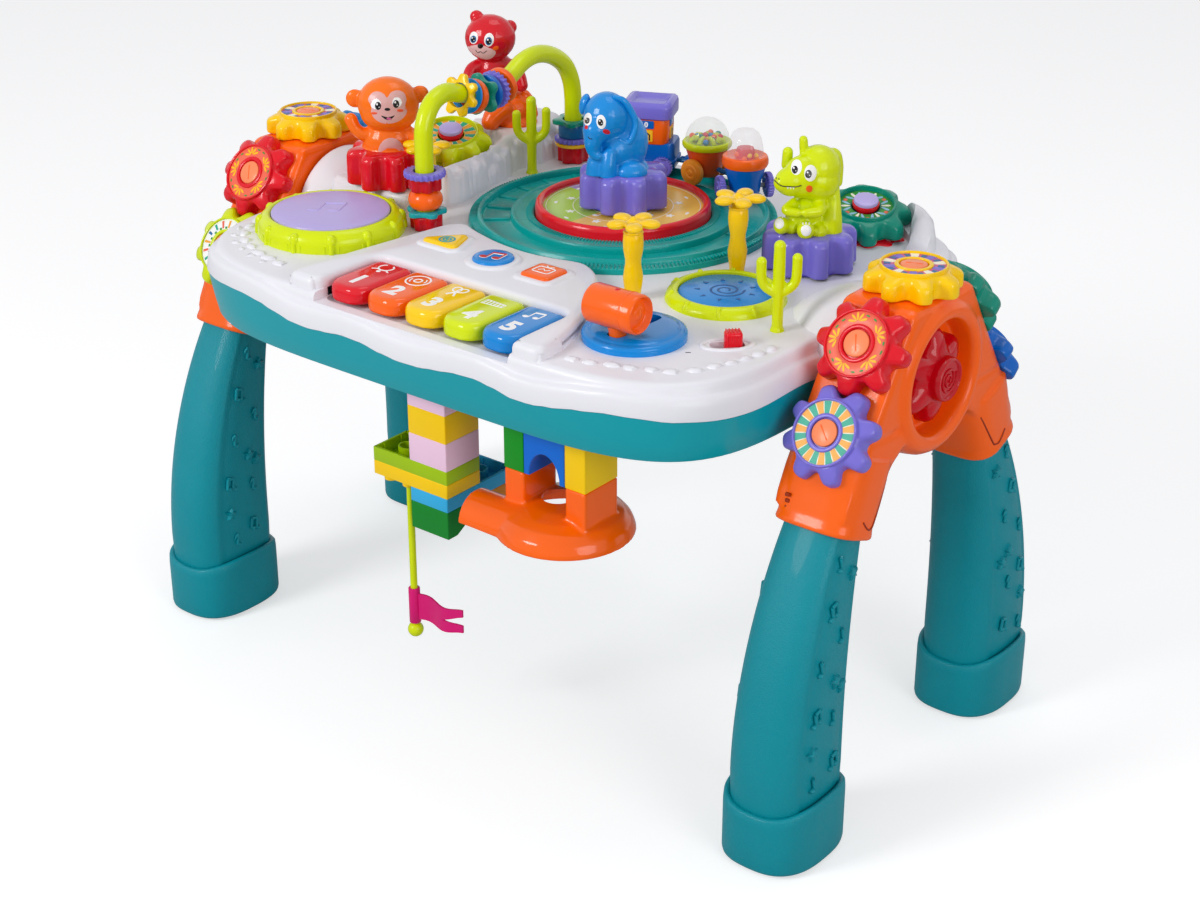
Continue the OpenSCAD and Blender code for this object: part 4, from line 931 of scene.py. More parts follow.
pocket = Part()
pocket.prism(rounded([(-72.4, -168.6), (86.2, -168.6), (86.2, -114.6), (-72.4, -114.6)], [8, 8, 10, 10], 6),
             [(0, 296.9), (0, 340)], WHITE)

upper = Part()
upper.loft(shell_rings([(217.0, 178.5, 282.8, 1), (219.6, 181.2, 283.0, 1), (219.8, 181.4, 283.8, 1),
                        (218.9, 180.5, 291.5, 1),
                        (218.3, 179.9, 294.6, 0.95), (217.2, 178.8, 296.0, 0.9), (215.6, 177.2, 296.6, 0.85),
                        (214.8, 176.4, 297.6, 0.8), (214.4, 176.0, 300.4, 0.35), (213.7, 175.3, 303.0, 0.1),
                        (212.2, 173.8, 304.6, 0), (209.8, 171.4, 305.1, 0)]), WHITE)
slot_cut = Part()
slot_cut.prism(rounded([(120, -132), (135, -132), (135, -84), (120, -84)], 7, 6), [(0, 296), (0, 330)], WHITE)
switch_cut = Part()
switch_cut.prism(rounded([(-13, -4.8), (8, -4.8), (8, 4.8), (-13, 4.8)], 4, 5), [(0, 298), (0, 330)], WHITE,
                 T_(180, -82, 0) @ R_(45, "Z"))
upper = cut(upper, well, pocket, slot_cut, switch_cut)

PANEL = [(-98, -172), (-96.5, -150), (-86.5, -84), (-80, -46), (-74, -38), (-68, -36), (-52, -42.5),
         (-28, -49.6), (-4, -52.2),
         (14, -50.6), (32, -45.8), (40, -45), (50, -49.5), (60, -57), (78, -84), (92, -108), (102, -134),
         (108, -156), (109, -172)]
panel = Part()
PANEL_TOP = [(0, 309.2), (0.4, 311.2), (1.2, 312.4), (2.2, 313.0), (3.2, 313.3)]
skirt = rounded(PANEL, [2, 14, 14, 10, 8, 8, 12, 12, 12, 12, 12, 8, 8, 10, 14, 14, 14, 10, 2], 5)
panel.loft([[(x, y, z) for x, y in inset(skirt, d)] for d, z in [(-1.6, 303.8), (-1.0, 304.6), (-0.3, 305.6),
                                                                 (0, 307), (0, 309.3)]],
           WHITE, closed=False)
panel_out = rounded(PANEL + [(86.6, -172), (86.6, -114.6), (-73, -114.6), (-73, -172)],
                    [9, 14, 14, 10, 8, 8, 12, 12, 12, 12, 12, 8, 8, 10, 14, 14, 14, 10, 9, 9, 12, 10, 9], 5)
panel.prism(panel_out, [(0, 299.6)] + PANEL_TOP, WHITE)
panel_front = Part()
for out, radii in (([(-98.5, -173.5), (-76, -173.5), (-76, -150), (-97, -150)], [7, 4, 2, 2]),
                   ([(86.8, -173.5), (110, -173.5), (108, -150), (86.8, -150)], [4, 9, 2, 2])):
    panel_front.prism(rounded(out, radii, 5),
                      [(-1.2, 296), (0, 299), (0, 308.6), (0.6, 310.8), (2, 312.3), (4, 312.9)], WHITE)


def soft_island(p, out, z0, z1):
    """Low mound round a button, with a flared foot."""
    p.prism(out, [(-2.6, z0 - 0.3), (-1.2, z0 + 0.2), (-0.4, (z0 + z1) / 2), (0, z1 - 0.5), (0.5, z1),
                  (2.4, z1 + 0.1)],
            WHITE)


TRI = [(-10, -7), (10, -7), (4, 9)]
BUTTONS = [(-53, -72), (-8, -79), (34, -79)]


def tri_outline(grow, k=8):
    """Triangle with corners rounded about the points of TRI."""
    c, r, out = TRI, 4 + grow, []
    for i in range(3):
        d, e = (c[i][0] - c[i - 1][0], c[i][1] - c[i - 1][1]), (c[(i + 1) % 3][0] - c[i][0],
                                                                c[(i + 1) % 3][1] - c[i][1])
        a, b = atan2(-d[0], d[1]), atan2(-e[0], e[1])
        if b < a:
            b += 2 * pi
        out += [(c[i][0] + r * cos(a + (b - a) * j / k), c[i][1] + r * sin(a + (b - a) * j / k))
                for j in range(k + 1)]
    return out


def moved(pts, dx, dy):
    return [(x + dx, y + dy) for x, y in pts]


extra = Part()
soft_island(extra, moved(tri_outline(3.6), *BUTTONS[0]), 313, 314.6)
soft_island(extra, circle(17.6, 56, *BUTTONS[1]), 313, 314.6)
soft_island(extra, rrect(15.4, 15.4, 7, 8, *BUTTONS[2]), 313, 314.6)
# ring around the switch slot
SWITCH_RING = [(17, 10.5, 304.9), (16.49, 10.08, 305.9), (15.81, 9.555, 306.2), (14.07, 7.776, 306.1),
               (13.4, 7.2, 305.6),
               (13.4, 7.2, 303)]
extra.loft([[(lx * x, ly * y, z) for x, y in circle(1, 48)] for lx, ly, z in SWITCH_RING], WHITE,
           T_(178.2, -83.8, 0) @ R_(45, "Z"), (False, False))

# rows of embossed stones inside the edge
rng = random.Random(7)


def stone(p, x, y, z, a, s=1.0):
    out = [(s * (5.2 + rng.uniform(-1.2, 1.2)) * c, s * (3.6 + rng.uniform(-0.8, 0.8)) * d) for c,
           d in circle(1, 7)]
    p.prism(out, [(-0.4, -0.6), (0, 0.4), (0.6, 1.3), (1.8, 1.9)], WHITE, T_(x, y, z) @ R_(a, "Z"))


for x, y in [(104, -162), (121, -158), (132, -155), (144, -150), (155, -147), (166, -142), (177, -137),
             (186, -127), (192, -115),
             (196, -105), (199, -95), (201, -84), (203, -73)]:
    a = 90 + math.degrees(atan2(y + 90, x - 150)) if x > 150 else 8
    stone(extra, x, y, 305, a, 0.9)
for x, y in [(-127, -153), (-140, -150), (-152, -147), (-164, -142), (-176, -136), (-186, -127),
             (-194, -115), (-199, -104),
             (-203, -93), (-205, -82), (-206, -71), (-206, -60)]:
    stone(extra, x, y, 305, 90 + math.degrees(atan2(y + 95, x + 150)), 0.95)
for x, y in [(-197, -122), (-189, -134), (-178, -143), (-166, -149), (-152, -154), (-138, -157)]:
    stone(extra, x, y, 304.6, rng.uniform(0, 180), 0.6)
# marks beside the switch
INK = M_("black", rough=0.5, coat=0.0)
mark = T_(154, -104, 305.12) @ R_(35, "Z")
extra.tube([(*polar(2.6, 120 + 300 * i / 20), 0) for i in range(21)], 0.32, INK, mark, 6, flat=0.35)
extra.tube([(0, -1.2, 0), (0, 3.0, 0)], 0.35, INK, mark, 6, flat=0.35)
extra.tube([(166, -108.5, 305.12), (168.4, -106.6, 305.12)], 0.5, INK, None, 6, flat=0.3)


# ears around the trunnions
def ear(p, x0, T):
    """Half dome round a trunnion, from x0 out to the deck's side."""
    prof = [(0, x0 - 3), (23, x0 - 3), (26, x0 - 1.5), (28.5, x0 + 2), (33, x0 + 7),
            (39.5, x0 + (222 - x0) * 0.42),
            (43.6, x0 + (222 - x0) * 0.66), (45.6, 218), (45.9, 220.5), (45.2, 221.8), (0, 222)]
    seg = 40
    rows = []
    for i in range(seg + 1):
        a = pi * i / seg
        rows.append([(x, -r * cos(a), AXIS_Z + r * sin(a)) for r, x in prof])
    p.loft(rows, WHITE, T, (False, False), closed=False)


ear(extra, 178, ID)
ear(extra, 190, SX)

# rear right rim
rear = Part()
REAR_C, REAR_ARC = (147, 114), (8, 96)
rows = []
for i in range(33):
    a = radians(REAR_ARC[0] + (REAR_ARC[1] - REAR_ARC[0]) * i / 32)
    k = min(1, i / 7, (32 - i) / 7)
    k = 0.35 + 0.65 * sin(k * pi / 2)
    prof = [(30, 304), (31.2, 308), (32.4, 305 + 16 * k), (34.6, 305 + 20 * k), (38, 305 + 21.6 * k),
            (42, 305 + 20.4 * k),
            (45.6, 305 + 16 * k), (47.6, 304 + 7 * k), (48.6, 303)]
    rows.append([(REAR_C[0] + r * cos(a), REAR_C[1] + r * sin(a), z) for r, z in prof])
rear.loft(rows, WHITE)

# raised rocks at the rear left
TERRACE = [(-204, -28), (-150, -31), (-134, -27), (-130, -8), (-124, 0), (-120, 14), (-124, 40), (-128, 60),
           (-130, 72), (-137, 84), (-136, 104),
           (-133, 112), (-135, 138), (-146, 160), (-168, 163), (-186, 150), (-198, 128), (-205, 100)]
ROCK = [(-129, -4), (-124, 2), (-121, 14), (-125, 40), (-128, 60), (-130, 72), (-137, 84), (-136, 104),
        (-133, 112), (-135, 138),
        (-146, 158), (-168, 162), (-186, 148), (-188, 104), (-152, 92), (-145, 84), (-130, 50)]
ground = Part()
ground.prism(rounded(TERRACE, 5, 3), [(0, 300), (0, 312), (1.2, 315.4), (3.5, 317)], WHITE)
ground.prism(rounded(ROCK, 4, 3), [(0, 300), (0.3, 318), (1.2, 326.5), (3.2, 329.8)], WHITE)
ground.revolve([(0, 300), (23, 300), (22, 312), (20.5, 316.2), (18.5, 317.2), (0, 317.2)], WHITE,
               T_(*MONKEY_C, 0), 48)
for j, corner in enumerate(ROCK):
    a, b = Vector(corner), Vector(ROCK[(j + 1) % len(ROCK)])
    n = max(1, round((b - a).length / 6.5))
    for k in range(n):
        c = a.lerp(b, (k + 0.5) / n)
        s, h, turn = rng.uniform(3.0, 4.6), rng.uniform(315, 330), rng.uniform(0, 72)
        if hypot(c.x - MONKEY_C[0], c.y - MONKEY_C[1]) > 33 + s:
            pillar = [polar(s, turn + 72 * i) for i in range(5)]
            ground.prism(moved(pillar, c.x * 0.992, c.y), [(-1.4, 300), (-0.4, 308), (0.2, h - 3), (1.6, h)],
                         WHITE)
low = Part()
low.add(*remesh(ground, 1.3, 1), WHITE)


def tilted(c, z):
    """Place of a deck gear that leans towards the front left."""
    return T_(*c, z) @ R_(38.5, "Z") @ R_(15, "X")


def gear_room(c, z, r):
    """Space in which a tilted deck gear turns."""
    p = Part()
    p.revolve([(0, -1.2), (r, -1.2), (r, 30), (0, 30)], WHITE, tilted(c, z), 64)
    return p


low = cut(low, gear_room(LIME_C, LIME_Z, 30.6))
rear = cut(rear, gear_room(TEAL_C, TEAL_Z, 32.6))
join(upper, panel, panel_front, extra, rear, low).make("deck_upper_shell", "deck", ["deck_top"],
                                                       "white_plastic", angle=42)

# ---------------------------------------------------------------- keys, buttons, pads, hammer and switch
DECK_Z = 305
PRINT_WHITE = M_("pure", rough=0.3, coat=0.2)


def digit(p, text, T, size, mat, h=0.22):
    """Plain numeral from the built-in font, as a thin raised print."""
    cu = bpy.data.curves.new("tmp", "FONT")
    cu.body = text
    cu.size = size
    cu.extrude = h
    cu.offset = size * 0.045
    cu.align_x = cu.align_y = "CENTER"
    cu.resolution_u = 6
    o = placed(bpy.data.objects.new("tmp", cu))
    me = evaluated(o)
    p.add([v.co.copy() for v in me.vertices], [list(q.vertices) for q in me.polygons], mat, T)
    bpy.data.objects.remove(o)
    bpy.data.curves.remove(cu)


def line(p, pts, r, mat, T=None, closed=False, flat=0.3):
    p.tube([(x, y, 0) for x, y in pts], r, mat, T, 8, closed=closed, flat=flat)


def key_icon(p, k, T):
    m = PRINT_WHITE
    if k == 0:      # bell
        line(p, [(5.2 * sin(radians(a)), 4.2 - 5.2 * cos(radians(a)) * 0.9) for a in range(-150, 151, 20)],
             0.6, m, T)
        line(p, [(-7, -1.8), (-4, 0), (0, -0.8), (4, 0), (7, -1.8)], 0.6, m, T)
        p.ball((0, -3.2, 0), (1.6, 1.6, 0.3), m, T, 14, 6)
    elif k == 1:    # disc
        for r in (8.0, 2.6):
            line(p, circle(r, 40), 0.62, m, T, True)
        for a in (20, 200):
            line(p, [polar(5.4, a + b) for b in range(-28, 29, 8)], 0.5, m, T)
    elif k == 2:    # maracas
        for s in (-1, 1):
            L = T @ R_(s * 28, "Z")
            line(p, [(2.9 * cos(radians(a)), 4.6 + 3.8 * sin(radians(a))) for a in range(0, 360, 15)], 0.6,
                 m, L, True)
            line(p, [(0, 0.6), (0, -6.6)], 0.8, m, L)
    elif k == 3:    # xylophone
        line(p, [(-8, -3.2), (8, -2.0), (8, 2.0), (-8, 3.2)], 0.5, m, T, True)
        for i in range(6):
            x = -6.6 + 2.6 * i
            line(p, [(x, -2.5), (x, 2.5)], 0.55, m, T)
    else:           # two notes
        for x, y in ((-3.6, -3.4), (3.4, -2.4)):
            p.ball((x, y, 0), (2.2, 1.7, 0.3), m, T, 14, 6)
            line(p, [(x + 1.8, y), (x + 1.8, y + 8)], 0.55, m, T)
        line(p, [(-1.8, 4.4), (5.2, 5.6)], 1.0, m, T)


for k, paint in enumerate(("red", "orange", "yellow", "lime", "blue")):
    p = Part()
    x0, w, l, r = KEY_X0 + KEY_PITCH * k, KEY_PITCH - 0.8, 51.6, 12.5
    corners = [(x0 + w - r, KEY_FRONT + r, r, -90), (x0 + w - 6, KEY_FRONT + l - 6, 6, 0),
               (x0 + 6, KEY_FRONT + l - 6, 6, 90),
               (x0 + r, KEY_FRONT + r, r, 180)]
    out = [(cx + q * cos(radians(a + b)), cy + q * sin(radians(a + b))) for cx, cy, q,
           a in corners for b in range(0, 91, 9)]
    p.prism(out, [(0.6, 300.2), (0.1, 300.8), (0, 302), (0, 306.2), (0.5, 308.6), (1.5, 310.1), (2.9, 310.8),
                  (4.6, 311.1)],
            M_(paint, rough=0.13, coat=0.7))
    digit(p, str(k + 1), T_(x0 + w / 2, KEY_FRONT + 15.5, 311.05), 19, PRINT_WHITE)
    key_icon(p, k, T_(x0 + w / 2, KEY_FRONT + 37, 311.15))
    p.make(f"key_{k + 1}", f"key_{k + 1}", [f"key_{k + 1}"], paint + "_plastic", angle=50)


def cap_button(name, out, paint, art):
    p = Part()
    p.prism(out, [(0.2, 311), (0, 314), (0, 315.0), (0.6, 316.0), (1.8, 316.5), (4, 316.6)],
            M_(paint, rough=0.2, coat=0.5))
    art(p)
    p.make(name, name, [name], paint + "_plastic", angle=50)


def tri_art(p):
    T = T_(BUTTONS[0][0] + 1.4, BUTTONS[0][1] - 2.4, 316.7)
    m = M_("bead_teal", rough=0.3)
    line(p, circle(5.0, 32), 0.7, m, T, True)
    for a in (30, 150, 270):
        line(p, [polar(2.6, a + b) for b in range(-50, 51, 12)], 0.8, m, T)
    p.ball((0, 0, 0), (1.1, 1.1, 0.35), m, T, 14, 6)


def note_art(p):
    T = T_(*BUTTONS[1], 316.75) @ R_(6, "Z")
    for m, r, lift in ((PRINT_WHITE, 1.75, 0.0), (M_("crimson", rough=0.3), 1.05, 0.28)):
        L = T @ T_(0, 0, lift)
        for x, y in ((-4.4, -4.6), (4.2, -3.2)):
            p.ball((x, y, 0), (2.3 + r * 0.4, 1.7 + r * 0.4, 0.3), m, L, 16, 6)
            line(p, [(x + 2.0, y), (x + 2.0, y + 9)], r * 0.62, m, L, flat=0.2)
        line(p, [(-2.4, 4.2), (6.2, 5.8)], r, m, L, flat=0.18)


def square_art(p):
    T = T_(*BUTTONS[2], 316.75)
    line(p, rrect(6.4, 4.6, 1.8, 5), 0.55, PRINT_WHITE, T, True)
    line(p, [(-3, 7), (0, 4.8), (3, 7)], 0.5, PRINT_WHITE, T)
    line(p, [(-3.6, -1.4), (-1, 1.6), (1.2, -0.8), (3.6, 1.8)], 0.5, PRINT_WHITE, T)


cap_button("button_triangle", moved(tri_outline(0), *BUTTONS[0]), "yellow", tri_art)
cap_button("button_round", circle(13.6, 56, *BUTTONS[1]), "blue", note_art)
cap_button("button_square", rrect(11.5, 11.5, 4, 8, *BUTTONS[2]), "orange", square_art)

LIME = M_("lime", rough=0.26, coat=0.35)
DRUM, SPIRAL, HAMMER = (-147, -85), (134, -23), (128, -108)
p = Part()
T = T_(*DRUM, DECK_Z)
p.revolve([(40.15, 0), (40.15, 12.4), (41.0, 13.6), (42.0, 14.0), (43.4, 13.7), (45.4, 12.4), (47.8, 10.0),
           (48.8, 7.6),
           (49.2, 4.5), (49.4, 1.4), (49.5, 0), (40.15, 0)], LIME, T, 96)
for i in range(12):
    L = T @ R_(15 + 30 * i, "Z")
    p.ball((46.8, 0, 8.2), (3.6, 3.6, 4.6), LIME, L, 16, 10)
    p.tube([(49.0, 0, 0), (49.0, 0, 3.4), (48.6, 0, 7.4)], [2.0, 2.0, 1.8], LIME, L, 10)
    for s in (-4.6, 4.6):
        p.tube([(49.0, s, 0.3), (49.0, s, 5.4)], 0.5, LIME, L, 6)
T = T_(*SPIRAL, DECK_Z)
p.revolve([(30.25, 0), (30.25, 5.8), (30.9, 6.5), (31.8, 6.8), (33.2, 6.6), (35.4, 5.6), (37.2, 3.6),
           (38.0, 1.4), (38.2, 0),
           (30.25, 0)], LIME, T, 96)
for i in range(10):
    L = T @ R_(36 * i + 10, "Z")
    p.tube([(36.4, 0, 0.4), (36.2, 0, 3.6), (34.4, 0, 6.0)], [1.9, 1.8, 1.4], LIME, L, 10)
    p.ball((34.2, 0, 6.0), (2.0, 1.8, 1.6), LIME, L, 14, 8)
    for s in (-3.2, 3.2):
        p.tube([(37.2, s, 0.3), (36.9, s, 3.4)], 0.5, LIME, L, 6)
p.make("pad_surrounds", "deck", ["pad_surrounds"], "lime_plastic", angle=40)

p = Part()
LAV = M_("lavender", rough=0.36, coat=0.15, sss=0.05)
T = T_(*DRUM, DECK_Z)
p.revolve([(0, 9.4), (39.4, 9.4), (39.8, 11.5), (39.8, 13.4), (39.2, 14.2), (37, 14.7), (30, 15.2),
           (15, 15.6), (0, 15.7)], LAV, T, 96)
N = T @ T_(-3, -1, 15.75) @ R_(25, "Z")
for x, y in ((-7, -7), (7, -5)):
    p.ball((x, y, -0.1), (4.2, 3.0, 0.6), LAV, N, 20, 8)
    p.tube([(x + 3.6, y, -0.15), (x + 3.6, y + 15, -0.25)], 0.9, LAV, N, 8, flat=0.7)
p.tube([(-3.4, 8, -0.25), (10.8, 10, -0.3)], 1.7, LAV, N, 8, flat=0.5)
p.make("drum_skin", "drum_skin", ["drum_skin"], "lavender_plastic", angle=40)

p = Part()
BLUE = M_("blue", rough=0.24, coat=0.4)
# Darker blue is painted shade: the spiral pad's spiral and triangles are raised marks in it, standing for the
# shade in grooves.
PAINTED_SHADE_BLUE = plastic("blue_painted_groove_shade", (10, 84, 150), rough=0.45)
T = T_(*SPIRAL, DECK_Z)
p.revolve([(0, 2.3), (29.6, 2.3), (29.9, 3.6), (29.7, 4.5), (28.8, 4.9), (0, 5.2)], BLUE, T, 96)
T = T @ T_(-1, 1, 5.15)
line(p, [polar(2.0 + 9.6 * i / 90, 8.4 * i) for i in range(91)], 0.75, PAINTED_SHADE_BLUE, T, flat=0.25)
for i in range(9):
    a = 40 * i + 12
    p.prism([(-1.5, -1.4), (1.5, -1.4), (0, 2.2)], [(0, -0.2), (0.1, 0.14)], PAINTED_SHADE_BLUE,
            T @ T_(*polar(17.5, a), 0) @ R_(a - 90, "Z"))
p.make("spiral_pad", "spiral_pad", ["spiral_pad"], "blue_plastic", angle=40)

p = Part()
T = T_(*HAMMER, DECK_Z)
p.revolve([(0, 0), (31.7, 0), (31.8, 3.4), (31.4, 4.6), (30.2, 5.4), (28.4, 5.8), (27.4, 5.9), (26.9, 6.3),
           (25.4, 6.9), (20, 7.3),
           (10, 7.5), (0, 7.5)], M_("blue", rough=0.18, coat=0.55), T, 96)
SLOT_OUT = rounded([(-5.6, -22), (5.6, -22), (5.6, 22), (-5.6, 22)], 5, 6)
slot = Part()
slot.prism(SLOT_OUT, [(0, -4), (0, 20)], PAINTED_SHADE_BLUE, T)
p = cut(p, slot)
# Floor of the slot in a darker blue: painted shade at the bottom of the slot.
p.prism(SLOT_OUT, [(0, -4), (0, 1.0)], M_("steel_blue", rough=0.5), T)
p.make("hammer_base", "deck", ["hammer_base"], "blue_plastic", angle=40)

p = Part()
OR = M_("orange", rough=0.2, coat=0.5)
Y0, HZ = HAMMER[1] - 16, 328
T = T_(HAMMER[0] - 1, Y0, HZ) @ R_(90, "Y")
p.revolve([(0, 15.6), (5.2, 15.8), (7.0, 15.0), (8.6, 14.6), (9.6, 15.4), (10.2, 17.4), (11.0, 18.2),
           (11.8, 17.6), (12.2, 16.0),
           (12.2, -15.4), (11.7, -17.2), (10.4, -18.2), (8, -18.6), (0, -18.6)], OR, T, 64)
p.ball((0, 0, 14.4), (5.0, 5.0, 2.4), OR, T, 20, 10)
p.revolve([(11.9, 9.0), (12.5, 9.4), (12.5, 10.6), (11.9, 11.0)], OR, T, 64)
p.tube([(HAMMER[0], Y0, 300), (HAMMER[0], Y0, 309), (HAMMER[0], Y0, 314), (HAMMER[0], Y0, 320)],
       [4.9, 4.9, 5.6, 6.8], OR, None, 24)
p.ball((HAMMER[0], Y0, HZ + 11.7), (2.1, 2.1, 0.9), M_("bear", rough=0.3), None, 16, 8)
p.make("hammer", "hammer", ["hammer"], "orange_plastic", angle=40)

p = Part()
RED = M_("red", rough=0.25, coat=0.4)
T = T_(180, -82, 0) @ R_(45, "Z")
out = rounded([(-4.4, -4.2), (6.4, -4.2), (6.4, 4.2), (-4.4, 4.2)], 3, 6)
p.prism(out, [(0, 301), (0, 308), (0, 312.0), (0.4, 313.1), (1.4, 313.8)], RED, T)
for i in range(5):
    x = -3.0 + 1.95 * i
    p.tube([(x, -3.3, 313.8), (x, 0, 314.0), (x, 3.3, 313.8)], 0.45, RED, T, 8)
    for s in (-1, 1):
        p.tube([(x, s * 4.2, 305), (x, s * 4.2, 312)], 0.4, RED, T, 8)
p.make("power_switch", "power_switch", ["power_switch"], "red_plastic", angle=40)

# ---------------------------------------------------------------- railway and turntable
TURN, RAIL_R = (-5, 51.5), 86
p = Part()
T = T_(*TURN, DECK_Z)
p.revolve([(60.3, 0), (60.3, 6.2), (61.2, 7.0), (70.5, 6.9), (73.0, 7.1), (73.8, 7.9), (74.8, 8.1),
           (75.8, 7.8), (76.2, 7.0),
           (76.4, 3.4), (77.8, 2.8), (94.0, 2.8), (95.4, 3.4), (95.7, 7.0), (96.2, 7.9), (97.3, 8.2),
           (98.4, 7.9), (99.0, 7.0),
           (99.6, 5.6), (104.0, 4.2), (104.8, 3.6), (105.0, 2.8), (105.0, 0), (60.3, 0)], TRACK, T, 144)
for i in range(240):
    L = T @ R_(1.5 * i, "Z")
    p.prism([(99.4, -0.62), (104.4, -0.62), (104.4, 0.62), (99.4, 0.62)], [(0, 3.0), (0, 5.0), (0.35, 5.9)],
            TRACK, L, (False, True))
for i in range(180):
    L = T @ R_(2 * i, "Z")
    p.prism([(61.4, -0.55), (66.0, -0.55), (66.0, 0.55), (61.4, 0.55)], [(0, 6.4), (0, 7.3), (0.3, 7.8)],
            TRACK, L, (False, True))
for a in (150, 164, 178, 192, 206, 222):
    L = T @ R_(a, "Z")
    p.prism(rounded([(76.2, -2.2), (95.6, -2.2), (95.6, 2.2), (76.2, 2.2)], 0.4, 2),
            [(0, 2.4), (0, 3.5), (0.6, 4.1)], TRACK, L)
for a, da in ((128, 10), (330, 12), (20, 10)):
    L = T @ R_(a, "Z")
    sector(p, 76.6, 95.2, -da, da, 2.6, 3.6, TRACK, L, 6)
p.make("track", "deck", ["track"], "teal_plastic", angle=34)

p = Part()
RINGRED = M_("red", rough=0.2, coat=0.5)
p.revolve([(50.8, 3), (50.8, 7.8), (53.8, 8.4), (54.3, 12.6), (55.0, 14.2), (56.4, 15.0), (58.0, 14.8),
           (59.2, 13.6), (59.7, 11.6),
           (59.8, 0.4), (50.8, 0.4), (50.8, 3)], RINGRED, T, 128)
p.make("turntable_ring", "deck", ["turntable_ring"], "red_plastic", angle=40)
p = Part()
for a0, a1, c in ((100, 172, (158, 146, 220)), (172, 262, (166, 208, 0)), (262, 460, (250, 190, 0))):
    m = plastic(f"window_print_{a0}", c, rough=0.25, coat=0.4, mottle=0.12)
    sector(p, 13.5, 54.2, a0, a1, 7.0, 11.0, m, T, 40)
for i in range(26):
    a = 100 + 360 * i / 26
    L = T @ T_(*polar((28, 38, 46)[i % 3], a), 11.05) @ R_(a + 90, "Z")
    if i % 3 == 0:
        p.ball((0, 0, 0), (2.2, 1.6, 0.25), PRINT_WHITE, L, 12, 6)
        line(p, [(1.8, 0), (1.8, 5), (4, 4.2)], 0.5, PRINT_WHITE, L)
    elif i % 3 == 1:
        p.prism(star_outline(3.4), [(0, 0), (0, 0.2)], PRINT_WHITE, L)
    else:
        p.ball((0, 0, 0), (2.6, 1.2, 0.22), PRINT_WHITE, L, 12, 6)
for r in (22, 34, 52.4):
    line(p, circle(r, 96), 0.3, M_("print_cream", rough=0.3), T @ T_(0, 0, 11.05), True)
ringlet(p, 13.2, 54.3, 10.8, 12.2, WINDOW, T, 0.3, 96)
p.make("turntable_window", "deck", ["turntable_window"], "clear_plastic", angle=40)

# ---------------------------------------------------------------- pegs and deck gears
p = Part()
PEG = M_("red", rough=0.22, coat=0.45)
p.revolve([(0, 0), (12.6, 0), (12.6, 12.4), (6, 12.7), (6, 30), (0, 30)], PEG, T_(*TURN, 305), 40)
for c, z in ((MONKEY_C, 317), (CROC_C, 306)):
    p.revolve([(0, 0), (10, 0), (10, 0.3), (6, 0.6), (6, 18), (0, 18)], PEG, T_(*c, z), 40)
for c, z, base, big in ((TEAL_C, TEAL_Z, 305, 1.0), (LIME_C, LIME_Z, 317, 0.72)):
    rows = [(0, 29.5, 25.5), (0.9, 29.0, 25.0), (1.6, 27, 23.4), (2.6, 19, 17), (3.6, 15, 14),
            (4.6, 11.4, 10.8)]
    stack(p, [(h, lobes(a * big, b * big, 12, 0.8, 0.0, 120)) for h, a, b in rows], PEG,
          T_(*c, base - 0.1) @ R_(38.5, "Z"))
    L = tilted(c, z)
    p.revolve([(0, -2), (14, -2), (14.6, -1), (14.4, -0.4), (6, -0.4), (6, 13), (0, 13)], PEG, L, 40)
    p.revolve([(0, 12), (8.6, 12), (9.0, 13.4), (9.0, 14.8), (7, 15.2), (0, 15.2)], PEG, L, 40)
    p.revolve([(7.2, 14.6), (8.2, 15.2), (8.4, 16.4), (8.0, 17.4), (6.6, 18.0), (0, 18.3), ],
              M_("lavender", rough=0.3, coat=0.3), L, 40)
p.make("gear_pegs", "deck", ["gear_pegs"], "red_plastic", angle=40)


def tilted_gear(name, c, z, paint, art, slot_name, ro):
    """Deck gear that sits on a leaning peg."""
    p = Part()
    L = tilted(c, z)
    m = M_(paint, rough=0.24, coat=0.35)
    rows = [(0, 1.2, 1.0, 1.0), (0.8, 0.3, 0.3, 1.1), (2, 0, 0, 1.2), (6, 0.6, 0, 1.2), (8.4, 1.6, 0.1, 1.2),
            (10.4, 3.6, 0.4, 1.2), (11.8, 6.2, 0.8, 1.1), (12.6, 8.2, 1.2, 1.0)]
    stack(p, toothed(ro, ro - 7.9, rows, 13.0, 20.0), m, L, (False, False))
    p.revolve([(20.1, 12.6), (20.0, 14.8), (19.4, 15.5), (18.7, 15.2), (18.4, 14.4), (18.2, 12.0),
               (9.6, 11.6), (9.4, 2.0), (6.1, 2.0),
               (6.1, 0.0), (24, 0.0)], m, L, 96)
    decal(p, art, L @ T_(0, 0, -2.0), z=13.5, r0=10.2, r1=18.2)
    p.make(name, name, [name], slot_name, angle=38)


tilted_gear("gear_deck_teal", TEAL_C, TEAL_Z, "green", "leaves", "teal_plastic", 31.5)
tilted_gear("gear_deck_lime", LIME_C, LIME_Z, "lime", "rays", "lime_plastic", 29.5)


def animal_gear(p, c, z, mat, turn=0):
    """Tall gear under an animal, open below for its peg."""
    L = T_(*c, z) @ R_(turn, "Z")
    rows = [(0, 1.2, 0.6, 1.0), (0.8, 0.2, 0.1, 1.1), (2, 0, 0, 1.2), (19.6, 0.4, 0, 1.2),
            (21.6, 1.0, 0.3, 1.15),
            (23.2, 2.2, 1.0, 1.1), (24.2, 4.0, 2.2, 1.0), (24.6, 6.4, 4.0, 0.9)]
    stack(p, toothed(31.2, 23.2, rows, 24.7, 14), mat, L, (False, True))
    p.revolve([(6.1, 0.2), (6.1, 20), (0, 20)], mat, L, 32)
    p.revolve([(6.1, 0.2), (24, 0.1)], mat, L, 64)


